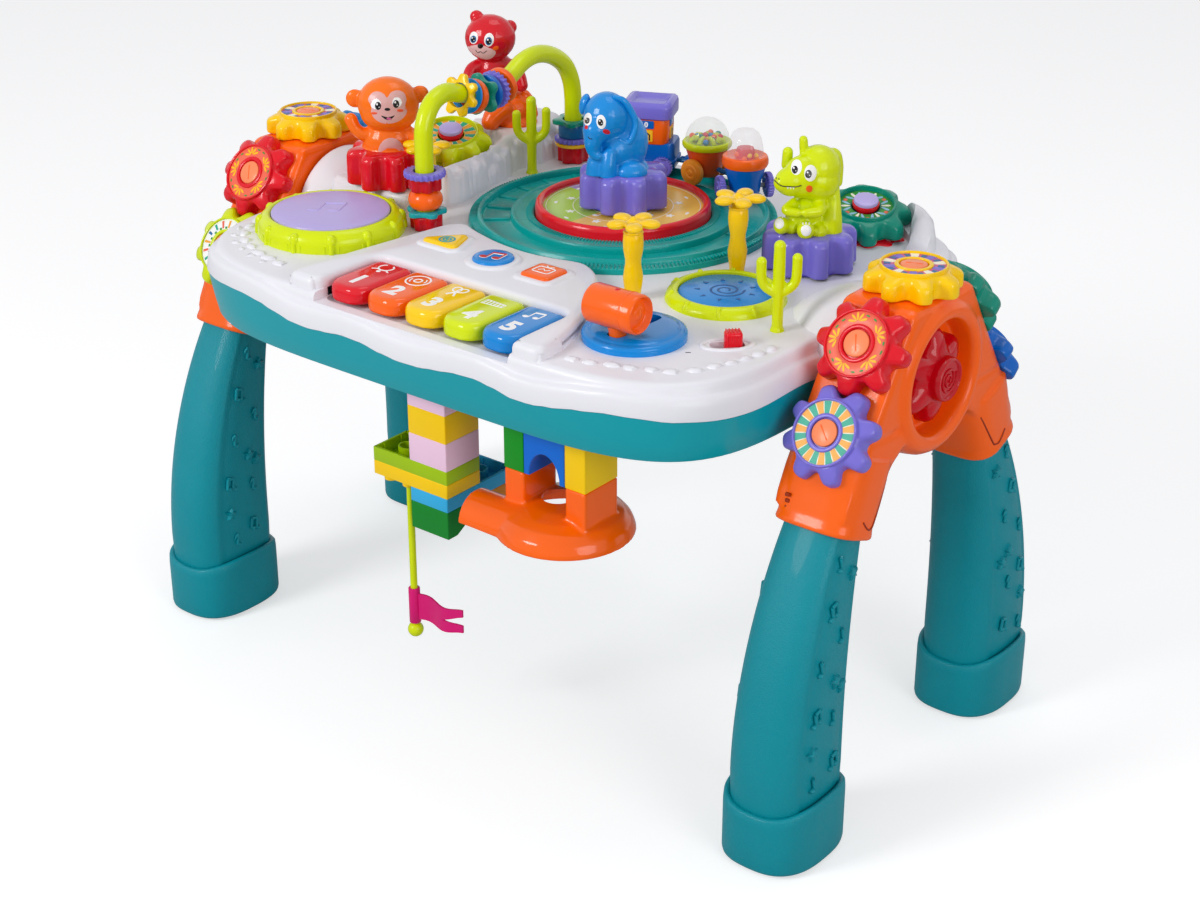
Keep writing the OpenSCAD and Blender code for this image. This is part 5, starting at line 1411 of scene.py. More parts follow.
# ---------------------------------------------------------------- cacti, flowers and the bead arch
p = Part()
for x, y, a in ((188.5, -47, 40), (-120, 92, 40)):
    L = T_(x, y, 304.4) @ R_(a, "Z")
    forms = [("tube", [(0, 0, -0.5), (0, 0, 14), (0, 0, 24), (0, 0, 40), (0, 0, 54)],
              [3.5, 3.5, 3.7, 3.8, 3.6]),
             ("ball", (0, 0, 54.2), 3.7), ("tube", [(0, 0, -0.5), (0, 0, 2.2)], [4.8, 4.2])]
    for s in (-1, 1):
        pts = [(0, 0, 24), (s * 5.5, 0, 27), (s * 9.0, 0, 30.5), (s * 10.4, 0, 35),
               (s * 10.6, 0, 46 if s > 0 else 44)]
        forms.append(("tube", smooth_line(pts, 5), 3.2))
        forms.append(("ball", (s * 10.6, 0, 46.4 if s > 0 else 44.4), 3.3))
    p.add(*blob(forms, LIME, 0.85, 4), LIME, L)
FLOWER = M_("yellow", rough=0.2, coat=0.5)
FLOWERS = [(89.6, -59.9, 0, 0), (113.4, 17.7, 10, 0), (-122.3, -15.9, 30, -4)]
for x, y, a, dz in FLOWERS:
    L = T_(x, y, 304.4 + dz) @ R_(a, "Z")
    p.revolve([(0, 0), (4.6, 0), (4.9, 4), (6.0, 12), (6.3, 16), (5.6, 20), (5.0, 24), (5.0, 27), (6.2, 33),
               (6.5, 38), (6.1, 43),
               (4.6, 46.5), (3, 48), (0, 48)], FLOWER, L, 36)
    p.tube([(px, py, 44.6) for px, py in circle(5.4, 24)], 1.0, FLOWER, L, 8, True)
    forms = [("ball", (0, 0, 49.6), (6.4, 6.4, 3.0)), ("ball", (0, 0, 52.4), (2.4, 2.4, 2.2))]
    for i in range(5):
        b = radians(72 * i + 22)
        forms.append(("ball", (10.7 * cos(b), 10.7 * sin(b), 50.6), (6.7, 5.6, 2.9),
                      Matrix.Rotation(b, 3, "Z")))
    p.add(*blob(forms, FLOWER, 0.8, 3), FLOWER, L)
p.make("garden_posts", "deck", ["garden_posts"], "lime_plastic", angle=50)

ARCH = T_(-100, -42, 305) @ R_(94.9, "Z")
AW, AH = 175.6, 90
PATH = [(0, -0.5), (0, 30), (0, AH - 34), (0.6, AH - 22), (5, AH - 12), (13, AH - 5), (26, AH - 2.8),
        (42, AH - 7.4), (60, AH - 12),
        (84, AH - 12), (99, AH - 8), (112, AH - 2.4), (AW - 50, AH - 0.2), (AW - 36, AH - 2),
        (AW - 22, AH - 7.6),
        (AW - 10, AH - 16.6), (AW - 2.6, AH - 29), (AW, AH - 43), (AW, AH - 60), (AW, -0.5)]
p = Part()
p.tube(smooth_line([(s, 0, z) for s, z in PATH], 8), 6.3, LIME, ARCH, 36)
p.make("bead_arch", "deck", ["bead_arch"], "lime_plastic", angle=60)


BEAD_HOLE = 7.6


def bead(p, kind, r, h, mat, L):
    """One bead standing on z = 0."""
    hole = BEAD_HOLE
    if kind == "ball":
        n = 10
        bulge = [(hole + (r - hole) * sin(pi * i / n) ** 0.6, h * i / n) for i in range(1, n)]
        p.revolve([(hole, 0.2)] + bulge + [(hole, h - 0.2), (hole, 0.2)], mat, L, 48)
        return
    outline = dict(ring=circle(r, 64), toothed=lobes(r, r - 1.3, 22, 0.9, 0, 176),
                   lobed=lobes(r, r - 2.2, 6, 1.1, 0.2, 120),
                   star=lobes(r + 1.6, r - 2.4, 5, 0.8, -0.1, 120),
                   flower=lobes(r, r - 4.4, 7, 0.9, 0.3, 168))[kind]
    ringlet_out(p, outline, hole + (0.6 if kind == "flower" else 0), h, mat, L)
    if kind == "flower":
        for x, y in circle(r - 3.0, 7):
            p.ball((x, y, h), (1.7, 1.7, 0.7), mat, L, 12, 6)


def ringlet_out(p, out, hole, h, mat, L):
    """Ring between an outline and a round hole, with soft edges."""
    inn = [(hole * cos(atan2(y, x)), hole * sin(atan2(y, x))) for x, y in out]
    e = min(0.8, h * 0.3)
    rows = [[(x, y, 0) for x, y in inset(inn, -0.2)]]
    for d, z in ((e, 0), (e * 0.3, e * 0.3), (0, e), (0, h - e), (e * 0.3, h - e * 0.3), (e, h)):
        rows.append([(x, y, z) for x, y in inset(out, d)])
    rows.append([(x, y, h) for x, y in inset(inn, -0.4)])
    rows.append([(x, y, h - 0.4) for x, y in inn])
    p.loft(rows, mat, L, wrap=True)


FRONT = [("lobed", 10.9, 9.3, "crimson"), ("star", 12.6, 3.5, "bead_teal"), ("ball", 11.7, 13.3, "orange"),
         ("lobed", 11.3, 9.0, "crimson"),
         ("toothed", 14.2, 4.0, "purple")]
REAR = [("lobed", 11.3, 12.0, "crimson"), ("ring", 13.2, 2.6, "gold"), ("toothed", 13.7, 3.4, "purple"),
        ("ring", 10.7, 9.5, "steel_blue"), ("star", 13.8, 3.4, "green")]
for name, stack_, s in (("beads_front", FRONT, 0), ("beads_rear", REAR, AW)):
    p = Part()
    z = 0.4
    for i, (kind, r, h, paint) in enumerate(stack_):
        bead(p, kind, r, h, M_(paint, rough=0.22, coat=0.4), ARCH @ T_(s, 0, z) @ R_(37 * i + 60, "Z"))
        z += h + 0.2
    p.make(name, name, [name], "red_plastic", angle=40)
TOP = [(41, 14.4, 4, "flower", "yellow"), (49.5, 12.0, 2.4, "ring", "blue"),
       (55.5, 11.8, 5.5, "ring", "orange"), (64.5, 13.4, 5.0, "star", "green"),
       (72, 12.4, 4.0, "ring", "royal"), (79.5, 13.2, 4.6, "toothed", "purple"),
       (88, 12.6, 5.0, "ring", "orange")]
p = Part()
top_line = smooth_line([(s, 0, z) for s, z in PATH[5:14]], 10)
for s, r, h, kind, paint in TOP:
    k = min(range(1, len(top_line) - 1), key=lambda j: abs(top_line[j].x - s))
    d = top_line[k + 1] - top_line[k - 1]
    z = top_line[k].z + (s - top_line[k].x) * d.z / d.x
    L = ARCH @ T_(s, 0, z - 1.2) @ R_(90 - math.degrees(atan2(d.z, d.x)), "Y") @ T_(0, 0, -h / 2) @ R_(s * 7,
        "Z")
    bead(p, kind, r, h, M_(paint, rough=0.22, coat=0.4), L)
p.make("beads_top", "beads_top", ["beads_top"], "yellow_plastic", angle=40)

# ---------------------------------------------------------------- animals
SIN_E, COS_E = sin(EL), cos(EL)
TOWARD = Vector((sin(AZ), -cos(AZ), 0))
FACE_R = Matrix.Rotation(AZ, 3, "Z")


class Figure:
    """Soft moulded figure, laid out in its front view: across, up the view, and towards the viewer."""

    def __init__(self, base, rise=0.0):
        self.base, self.rise, self.forms, self.bvh = Vector(base), rise, {}, None

    def sight(self, sx, sy):
        """Point in the view plane through the base, and the direction from it to the eye."""
        q = self.base + right * sx + (Vector((0, 0, COS_E)) - TOWARD * SIN_E) * (sy + self.rise)
        return q, (EYE - q).normalized()

    def at(self, sx, sy, t):
        """Point of the figure, t in front of its middle plane."""
        q, line_of_sight = self.sight(sx, sy)
        return q + line_of_sight * (t + (sy + self.rise) * SIN_E) / COS_E

    def ball(self, key, sx, sy, t, r, tip=0.0):
        R = FACE_R @ Matrix.Rotation(radians(tip), 3, "Y")
        self.forms.setdefault(key, []).append(("ball", self.at(sx, sy, t), r, R))

    def tube(self, key, pts, radii):
        path, rr = smooth_line([self.at(*q) for q in pts], 6), []
        for i in range(len(path)):
            k = min(i // 6, len(pts) - 2)
            t = i / 6 - k
            rr.append(radii[k] * (1 - t) + radii[k + 1] * t)
        self.forms.setdefault(key, []).append(("tube", path, rr))
        for end in (0, -1):
            self.forms[key].append(("ball", path[end], (rr[end],) * 3))

    def build(self, p, mats, floor):
        """Adds each colour's skin to the part, cut off flat at the floor."""
        V, F = [], []
        for key, shapes in self.forms.items():
            v, f = blob(shapes, mats[key], 0.85, 4)
            v = [Vector((q.x, q.y, max(q.z, floor))) for q in v]
            p.add(v, f, mats[key])
            F += [[len(V) + i for i in face] for face in f]
            V += v
        self.bvh = BVHTree.FromPolygons(V, F)

    def hit(self, sx, sy, lift=0.25):
        """Point just above the skin, seen at (sx, sy)."""
        q, back_dir = self.sight(sx, sy)
        loc, nor = self.bvh.ray_cast(q + back_dir * 160, -back_dir)[:2]
        if loc is None:
            return None
        return loc + (nor if nor.dot(back_dir) > 0 else -nor) * lift

    def patch(self, p, outline, mat, lift=0.25, rings=5):
        """Print that lies on the skin."""
        cx, cy = sum(q[0] for q in outline) / len(outline), sum(q[1] for q in outline) / len(outline)
        n = len(outline)
        c = self.hit(cx, cy, lift)
        if c is None:
            return
        verts, faces, prev = [c], [], None
        for k in range(1, rings + 1):
            row = []
            for x, y in outline:
                q = self.hit(cx + (x - cx) * k / rings, cy + (y - cy) * k / rings,
                             lift if k < rings else lift * 0.3)
                verts.append(q if q is not None else verts[-1])
                row.append(len(verts) - 1)
            for i in range(n):
                j = (i + 1) % n
                faces.append([0, row[i], row[j]] if prev is None else [prev[i], row[i], row[j], prev[j]])
            prev = row
        p.add(verts, faces, mat)

    def oval(self, p, sx, sy, rx, ry, mat, lift=0.25, tip=0, n=28):
        c, s = cos(radians(tip)), sin(radians(tip))
        pts = [(rx * cos(2 * pi * i / n), ry * sin(2 * pi * i / n)) for i in range(n)]
        self.patch(p, [(sx + x * c - y * s, sy + x * s + y * c) for x, y in pts], mat, lift)

    def stroke(self, p, pts, r, mat):
        q = [self.hit(x, y, 0.12) for x, y in smooth_line(pts, 6)]
        q = [v for v in q if v is not None]
        if len(q) > 2:
            p.tube(q, r, mat, None, 8)

    def eye(self, p, sx, sy, rx, ry, px, py, pr, tip=0, iris=None):
        self.oval(p, sx, sy, rx, ry, EYE_WHITE, 0.22, tip)
        if iris:
            self.oval(p, px, py, pr * 1.15, pr * 1.45, iris, 0.42, tip)
        self.oval(p, px, py, pr * (0.9 if iris else 1), pr * (1.1 if iris else 1.3), EYE_BLACK, 0.5, tip)
        self.oval(p, px - pr * 0.3, py + pr * 0.5, pr * 0.32, pr * 0.36, EYE_WHITE, 0.62)
        self.oval(p, px + pr * 0.35, py - pr * 0.4, pr * 0.18, pr * 0.2, EYE_WHITE, 0.62)


EYE_WHITE = M_("pure", rough=0.18, coat=0.5)
EYE_BLACK = M_("black", rough=0.15, coat=0.6)
CHEEK = M_("cheek", rough=0.3)

# elephant
f = Figure((-5, 51.5, 342.7), -0.1)
f.ball("e", -11.2, 34.6, 3, (15.6, 15.0, 16.4))
f.ball("e", -14.0, 29.0, 7, (13.0, 11.0, 11.0))
f.tube("e", [(-18.5, 25, 13), (-20.2, 18, 15), (-20.2, 12.5, 15.5), (-18.6, 8.8, 16.5), (-16.4, 7.4, 17.5)],
       [9.0, 6.6, 5.0, 3.9, 3.0])
f.ball("e", 2.5, 17, -3, (14.4, 15, 20.0))
f.ball("e", -5.0, 12, 5, (13.5, 12, 14.0))
f.tube("e", [(-15.5, 10, 10), (-18.3, 3, 12), (-18.6, -3.6, 12.4)], [5.6, 6.2, 6.8])
f.tube("e", [(-9, 9, 15), (-10.0, 1, 17), (-10.4, -5.0, 17)], [5.0, 5.4, 5.9])
f.ball("e", 5.0, -3.0, 13, (11.4, 9, 7.6))
f.ball("e", 12.5, -2.0, 0, (5.0, 9, 7.0))
f.tube("ear", [(-6.0, 47.5, 8), (0.2, 45.0, 8.5), (5.0, 38.4, 8), (8.2, 31, 8), (7.6, 24.5, 9),
               (4.8, 18.2, 10), (0.9, 16.4, 11),
               (-2.6, 18.4, 12)], [1.8, 2.2, 2.3, 2.3, 2.4, 2.5, 2.4, 2.0])
f.ball("ear", 1.6, 31.5, 6.5, (6.4, 2.4, 15.0), -8)
f.ball("ear", -26.0, 42.6, -3, (3.6, 5.0, 7.4), 14)
p = Part()
PURPLE = M_("purple", rough=0.2, coat=0.5)
animal_gear(p, TURN, 318.2, PURPLE, 16)
ABLUE = M_("animal_blue", rough=0.22, coat=0.45)
f.build(p, dict(e=ABLUE, ear=ABLUE), floor=342.6)
f.eye(p, -23.9, 32.4, 2.7, 4.4, -24.2, 31.4, 1.7, -8)
f.eye(p, -14.9, 30.6, 3.2, 4.8, -15.4, 30.2, 1.9, 6)
f.oval(p, -11.4, 24.0, 2.6, 1.6, M_("bear", rough=0.3), 0.25, -20)
f.oval(p, -24.9, 27.0, 1.2, 1.4, M_("bear", rough=0.3), 0.25)
f.stroke(p, [(-23.6, 20.6), (-22.6, 19.4), (-21.0, 19.2)], 0.3, EYE_BLACK)
p.make("elephant", "elephant", ["elephant"], "blue_plastic", angle=60)

# monkey
f = Figure((-162.6, -9, 341.9), 2.2)
f.ball("m", -1.7, 27.0, 2, (21.4, 16.5, 18.8))
f.ball("m", -1.2, 21.0, 4, (20.0, 15.0, 13.5))
for sx, sy, t, r in ((-24.6, 30.6, -1, 6.6), (20.6, 33.6, -3, 6.2)):
    f.ball("m", sx, sy, t, (r, 3.2, r))
f.ball("m", -0.9, 1.5, 0, (19.0, 16.0, 17.0))
f.ball("m", -0.9, -5.0, 0, (19.6, 17.0, 12.0))
f.tube("m", [(-14, 6, 4), (-19.5, 6.0, 5), (-24.5, 10, 5), (-27.6, 16, 4)], [5.4, 4.8, 4.2, 4.6])
f.tube("m", [(13, 6, 4), (18.5, 2.5, 6), (20.0, -3, 9), (15, -7.4, 13)], [5.2, 4.8, 4.4, 4.6])
p = Part()
animal_gear(p, MONKEY_C, 317.4, M_("red", rough=0.18, coat=0.55), 8)
f.build(p, dict(m=M_("monkey", rough=0.24, coat=0.4)), floor=341.8)
MASK = plastic("monkey_mask", (226, 172, 168), rough=0.3)
mask = [(-2.4, 31.0), (0.2, 34.6), (4.6, 36.2), (9.0, 34.6), (11.0, 30.0), (10.0, 25.6), (11.4, 21.4),
        (9.0, 17.2), (4.4, 14.2), (-1.6, 13.0),
        (-7.4, 14.0), (-11.8, 17.4), (-13.6, 21.6), (-13.0, 25.0), (-15.6, 29.6), (-13.0, 34.2),
        (-8.6, 35.4), (-4.6, 33.6)]
f.patch(p, smooth_line(mask, 3, True), MASK, 0.2, 7)
f.eye(p, -9.9, 26.6, 3.9, 4.3, -8.6, 25.4, 2.2)
f.eye(p, 4.5, 27.8, 3.9, 4.2, 3.8, 26.7, 2.2)
f.oval(p, -2.2, 23.0, 2.1, 1.1, EYE_BLACK, 0.45)
smile = [(-6.9, 18.9), (-4.6, 16.6), (-1.8, 15.6), (1.0, 16.6), (3.1, 18.9), (-1.8, 17.4)]
f.patch(p, smooth_line(smile, 3, True), EYE_BLACK, 0.4)
f.oval(p, -1.2, 16.6, 1.9, 0.8, M_("print_pink", rough=0.3), 0.5)
f.oval(p, -11.3, 20.3, 2.3, 1.0, CHEEK, 0.4)
f.oval(p, 6.7, 22.2, 2.4, 1.1, CHEEK, 0.4)
f.patch(p, [(0.4 + 9.2 * cos(radians(t)), -7.6 + 10.8 * sin(radians(t))) for t in range(0, 181, 9)], MASK,
        0.3, 7)
p.make("monkey", "monkey", ["monkey"], "orange_plastic", angle=60)

# crocodile
f = Figure((142, 57, 330.9), 2.1)
f.ball("c", 5.0, 35.4, 1, (14.8, 13.6, 15.6))
f.ball("c", 4.0, 28.0, 3, (15.0, 13.0, 13.0))
f.ball("c", -4.6, 30.4, 7, (12.4, 11.0, 14.0))
f.ball("c", -12.0, 27.4, 10, (10.6, 8.6, 9.6))
f.ball("c", -17.0, 26.6, 12, (6.4, 6.0, 6.2))
f.tube("c", [(-4.3, 54.0, 2), (-3.8, 46.0, 2)], [2.8, 3.0])
f.tube("c", [(-14.2, 46.2, -5), (-14.8, 38.0, -4)], [3.4, 3.6])
f.tube("c", [(11, 45.0, -3), (16.0, 44.6, -4), (17.6, 37.0, -5), (17.4, 27.0, -5)], [3.6, 3.8, 3.8, 3.4])
f.tube("c", [(13.2, -4, 6), (13.6, 4, 5.4), (14.8, 14, 4), (16.8, 25.4, 1)], [7.4, 7.0, 5.0, 2.0])
f.ball("c", -3.2, 5.4, 2, (12.6, 11.4, 14.0))
f.tube("c", [(-11, 13, 8), (-15.4, 9.0, 13), (-8.4, 7.4, 16)], [3.6, 3.2, 3.0])
f.tube("c", [(6, 13.5, 8), (5.6, 8.6, 14), (-2.4, 7.4, 16.5)], [4.6, 4.2, 3.2])
f.ball("c", -18.4, -0.8, 11, (5.0, 5.6, 5.8))
f.ball("c", -2.8, -4.0, 17, (5.8, 4.8, 6.0))
f.ball("c", 5.2, -4.6, 10, (6.0, 8.0, 6.4))
f.ball("c", -12, -1, 6, (6.0, 8.0, 6.0))
p = Part()
animal_gear(p, CROC_C, 306.4, PURPLE, 4)
CROC = M_("croc", rough=0.24, coat=0.4)
f.build(p, dict(c=CROC), floor=330.8)
f.eye(p, -8.7, 36.4, 3.5, 5.0, -9.6, 34.8, 2.0, -6)
f.eye(p, 0.2, 32.6, 3.9, 5.3, -1.1, 32.0, 2.1, -4)
f.stroke(p, [(-22.6, 28.0), (-19.5, 25.2), (-16.5, 24.2), (-13.0, 24.0), (-9, 23.9), (-5.6, 24.8)], 0.34,
         EYE_BLACK)
for x in (-14.2, -12.4, -10.6):
    f.patch(p, [(x - 0.8, 23.9), (x + 0.8, 23.9), (x, 22.2)], EYE_WHITE, 0.2, 2)
for x, y in ((-21.6, 29.4), (-20.0, 28.9)):
    f.stroke(p, [(x, y + 0.5), (x + 0.15, y), (x + 0.1, y - 0.6)], 0.25, EYE_BLACK)
f.oval(p, -0.5, 22.6, 2.1, 2.3, M_("orange", rough=0.3), 0.25)
f.oval(p, -19.6, 0.4, 2.9, 3.4, EYE_WHITE, 0.25)
f.oval(p, -2.6, -4.0, 3.3, 3.6, EYE_WHITE, 0.25)
for cx, cy in ((-19.6, 0.4), (-2.6, -4.0)):
    for k in (-1, 0, 1):
        f.oval(p, cx + 2.0 * k, cy + 4.7 - 0.3 * abs(k), 0.5, 0.9, EYE_WHITE, 0.25)
p.make("crocodile", "crocodile", ["crocodile"], "lime_plastic", angle=60)

# bear on the rear rock
f = Figure((-156, 116, 330))
f.ball("r", -18.4, 62.4, 4, (18.4, 15.5, 17.0))
f.ball("r", -28.4, 78.0, 0, (5.0, 3.6, 4.8))
f.ball("r", -4.0, 70.4, -1, (5.2, 3.8, 5.2))
f.ball("r", -15.0, 38, 0, (14.0, 12.5, 15.0))
f.ball("r", -11.0, 30, 0, (15.0, 13, 11.0))
f.tube("r", [(-24, 43, 3), (-31.5, 39.5, 6), (-34.6, 33.0, 9)], [5.4, 4.8, 4.6])
f.tube("r", [(-3, 42, 0), (2.6, 35, 2), (4.6, 27.5, 4)], [5.0, 4.8, 4.8])
f.ball("o", -3.0, 10, -3, (17.0, 15, 15.5))
f.ball("o", 0.0, 1, -2, (16.6, 15.5, 9.0))
f.tube("o", [(-9, 10, 6), (-15.5, 4.5, 10), (-18.2, 0.5, 12)], [9.0, 8.0, 6.8])
f.tube("o", [(7, 20, -2), (11.6, 15, -2), (15.2, 6, -2)], [4.4, 3.6, 1.8])
p = Part()
BEAR = M_("bear", rough=0.2, coat=0.5)
f.build(p, dict(r=BEAR, o=M_("orange", rough=0.22, coat=0.45)), floor=329.9)
MUZZLE = plastic("bear_muzzle", (240, 196, 196), rough=0.3)
muz = [(-35.0, 55.6), (-31.4, 56.8), (-26.0, 57.4), (-20.0, 55.4), (-14.6, 52.6), (-15.6, 49.0),
       (-19.6, 46.6), (-25.0, 47.2),
       (-30.0, 49.8), (-33.6, 52.6)]
f.patch(p, smooth_line(muz, 3, True), MUZZLE, 0.2, 6)
f.eye(p, -30.5, 62.4, 3.1, 4.6, -30.7, 61.4, 2.0, -6, M_("steel_blue", rough=0.3))
f.eye(p, -19.3, 61.0, 3.6, 5.0, -19.5, 60.0, 2.2, -6, M_("steel_blue", rough=0.3))
f.oval(p, -25.6, 56.4, 2.1, 1.9, EYE_BLACK, 0.5)
f.stroke(p, [(-29.0, 53.4), (-27.4, 51.6), (-25.4, 52.4), (-23.6, 51.2), (-21.0, 53.0)], 0.3, EYE_BLACK)
f.oval(p, -14.4, 54.8, 2.4, 1.5, M_("orange", rough=0.3), 0.35, 20)
p.make("bear", "deck", ["bear"], "red_plastic", angle=60)

# ---------------------------------------------------------------- train
def rail(a):
    """Place on the track at angle a, with x along it."""
    return T_(*TURN, 313.4) @ R_(a, "Z") @ T_(RAIL_R, 0, 0) @ R_(90, "Z")


def wheel(p, x, y, r, mat, L, teeth, w=4.2):
    W = L @ T_(x, y - w / 2, r) @ R_(-90, "X")
    if teeth:
        rim = lobes(r, r - 0.7, teeth, 0.8, 0, teeth * 8)
        p.prism(rim, [(0.6, 0), (0, 0.6), (0, w - 0.6), (0.6, w)], mat, W)
    else:
        p.revolve([(0, 0), (r - 1.2, 0), (r - 0.3, 0.3), (r, 1.0), (r, w - 1.0), (r - 0.3, w - 0.3),
                   (r - 1.2, w), (0, w)], mat, W, 40)
    for z0, s in ((0, -1), (w, 1)):
        p.revolve([(r * 0.62, z0), (r * 0.58, z0 + s * 0.5), (r * 0.40, z0 + s * 0.5), (r * 0.34, z0),
                   (r * 0.2, z0 + s * 0.2),
                   (r * 0.14, z0 + s * 0.9), (0, z0 + s * 1.0)], mat, W, 28)


def axle(p, x, reach, rod, r, mat, L, teeth=0):
    """Two wheels on a steel rod = (radius, half length, height)."""
    for s in (-1, 1):
        wheel(p, x, s * reach, r, mat, L, teeth)
    p.cyl((x, -rod[1], rod[2]), rod[0], 2 * rod[1], M_("grey", rough=0.4), L,
          R=Matrix.Rotation(-pi / 2, 3, "X"))


p = Part()
BASE = M_("royal", rough=0.22, coat=0.45)
CAB = M_("orange", rough=0.24, coat=0.4)
L = rail(115)
for x in (-11.5, 11.5):
    axle(p, x, 15, (1.5, 13, 7.6), 7.6, PURPLE, L, 24)
p.prism(rrect(19.5, 12.6, 5, 6), [(1.6, 4), (0.4, 4.8), (0, 6.4), (0, 22), (0.8, 24)], BASE, L)
p.prism(rrect(20.5, 13.2, 5, 6), [(0.6, 8.8), (0, 9.6), (0, 11.2), (0.6, 12)], BASE, L)
p.prism(rrect(14.5, 14, 5.5, 6), [(0.8, 23.4), (0, 24.4), (-0.4, 33), (-0.2, 42), (0.8, 43.5)], CAB, L)
for k, (sx, sy) in enumerate(((0, -1), (0, 1), (-1, 0), (1, 0))):
    N = L @ T_(sx * 14.9, sy * 14.4, 34) @ R_({0: 0, 1: 180, 2: -90, 3: 90}[k], "Z") @ R_(90, "X")
    p.prism(rrect(5.4, 2.8, 0.8, 3, 0, 3.8), [(0, -0.3), (0, 0.35), (0.3, 0.5)], M_("royal", rough=0.3), N)
    digit(p, "205"[k % 3], N @ T_(0, 3.8, 0.55), 5.0, PRINT_WHITE, 0.1)
    p.prism(rrect(4.6, 4.2, 0.8, 3, 0, -4.2), [(0, -0.3), (0, 0.3), (0.3, 0.45)], M_("gold", rough=0.3), N)
    line(p, [(-2.4, -7.4), (-2.4, -3.6), (0, -1.6), (2.4, -3.6), (2.4, -7.4)], 0.55, M_("black", rough=0.4),
         N @ T_(0, 0, 0.45))
top = rrect(17.8, 16.6, 6.5, 8)
rows = []
for d, z, k in ((1.4, 41.5, 0), (0.2, 42.4, 0), (0, 44, 0), (0, 49.5, 1), (0.7, 52.0, 1), (2.4, 53.4, 1),
                (4.2, 53.5, 1)):
    rows.append([(x, y, z + k * 1.5 * cos(2 * atan2(y, x)) * (1 if abs(x) > 3 else 0.6)) for x,
                 y in inset(top, d)])
rows.append([(x * 0.62, y * 0.55, 51.0) for x, y in top])
rows.append([(x * 0.3, y * 0.3, 50.6) for x, y in top])
p.loft(rows, PURPLE, L)
p.revolve([(0, 24), (5.6, 24), (5.6, 31), (6.6, 32), (6.6, 34), (0, 34)], BASE, L @ T_(17.2, 0, 0), 28)
p.tube([(-20, 0, 10), (-24, 0, 10), (-27.5, 0, 11.5)], [1.8, 1.6, 2.2], BASE, L, 12)
p.cyl((0, 0, -4.2), 3.9, 9, M_("grey", rough=0.4), L)

BALLS = ["red", "yellow", "blue", "green", "orange", "lime"]


def filling(p, L, r, z, n, mats=BALLS, size=2.1):
    for i in range(n):
        a, q = i * 2.4, r * sqrt((i + 0.5) / n)
        p.ball((q * cos(a), q * sin(a), z + rng.uniform(0, 2.2)), size, M_(mats[i % len(mats)], rough=0.25),
               L, 14, 8)


L = rail(85)
axle(p, 0, 15.4, (1.6, 14, 9), 9.2, M_("amber", rough=0.25, coat=0.35), L)
BOWL = plastic("bowl_orange", (228, 84, 26), rough=0.24, coat=0.4)
p.revolve([(0, 4.2), (8.6, 4.2), (9.6, 5.2), (11.0, 9), (13.0, 17), (15.4, 24.6), (15.4, 26)], BOWL, L, 56)
p.revolve([(14.8, 24.2), (16.6, 24.6), (17.4, 26.0), (17.5, 27.6), (16.8, 28.8), (15.6, 29.2), (13.4, 28.6),
           (0, 26.0)], LIME, L, 56)
for i in range(7):
    a = 2 * pi * i / 7
    p.tube([(12.6 * cos(a), 12.6 * sin(a), 28.4), (9 * cos(a), 9 * sin(a), 31),
            (5 * cos(a), 5 * sin(a), 32)], [1.6, 2.0, 1.4], LIME, L, 8)
filling(p, L, 11, 30.0, 18)
p.revolve([(15.6 * cos(radians(a)), 29 + 16.4 * sin(radians(a))) for a in range(0, 91, 6)], CLEAR, L, 56)
p.tube([(14, 0, 12), (19, 0, 11), (23, 0, 10.5)], [2.0, 1.6, 2.0], BASE, L, 12)
L = rail(53)
axle(p, 0, 17.2, (1.6, 15, 8.8), 8.8, PURPLE, L, 26)
p.revolve([(0, 4.2), (9.6, 4.2), (10.6, 5.2), (11.0, 9), (11.6, 14), (13.4, 20), (14.4, 24), (14.4, 25)],
          BASE, L, 56)
p.revolve([(13.6, 23.4), (15.2, 24.0), (16.0, 25.8), (16.0, 28.4), (15.4, 30.6), (14.2, 31.4), (12.6, 31.0),
           (0, 28)], CAB, L, 56)
filling(p, L, 8.5, 30.4, 10, ["orange", "yellow", "lime"], 1.9)
p.revolve([(0, 28), (6.5, 28), (6.5, 34), (5.6, 36.5), (0, 37)], M_("red", rough=0.25), L, 32)
p.revolve([(12.4, 30.8), (12.6, 33), (12.0, 38), (10.8, 43), (9.2, 46.6), (6.6, 48.6), (3.4, 49.3),
           (0, 49.5)], CLEAR, L, 56)
for a0, a1 in ((60, 79), (91, 103)):
    p.tube([(*polar(RAIL_R, a0 + (a1 - a0) * k / 6), 0) for k in range(7)], 1.7, M_("steel_blue", rough=0.35),
           T_(*TURN, 323.6), 10)
p.make("train", "train", ["train"], "train_plastic", angle=40)

# ---------------------------------------------------------------- building blocks, flag and slide
PITCH, BRICK_H, DECK_LOW = 16, 19.2, 256
TX, TY = -17, -154


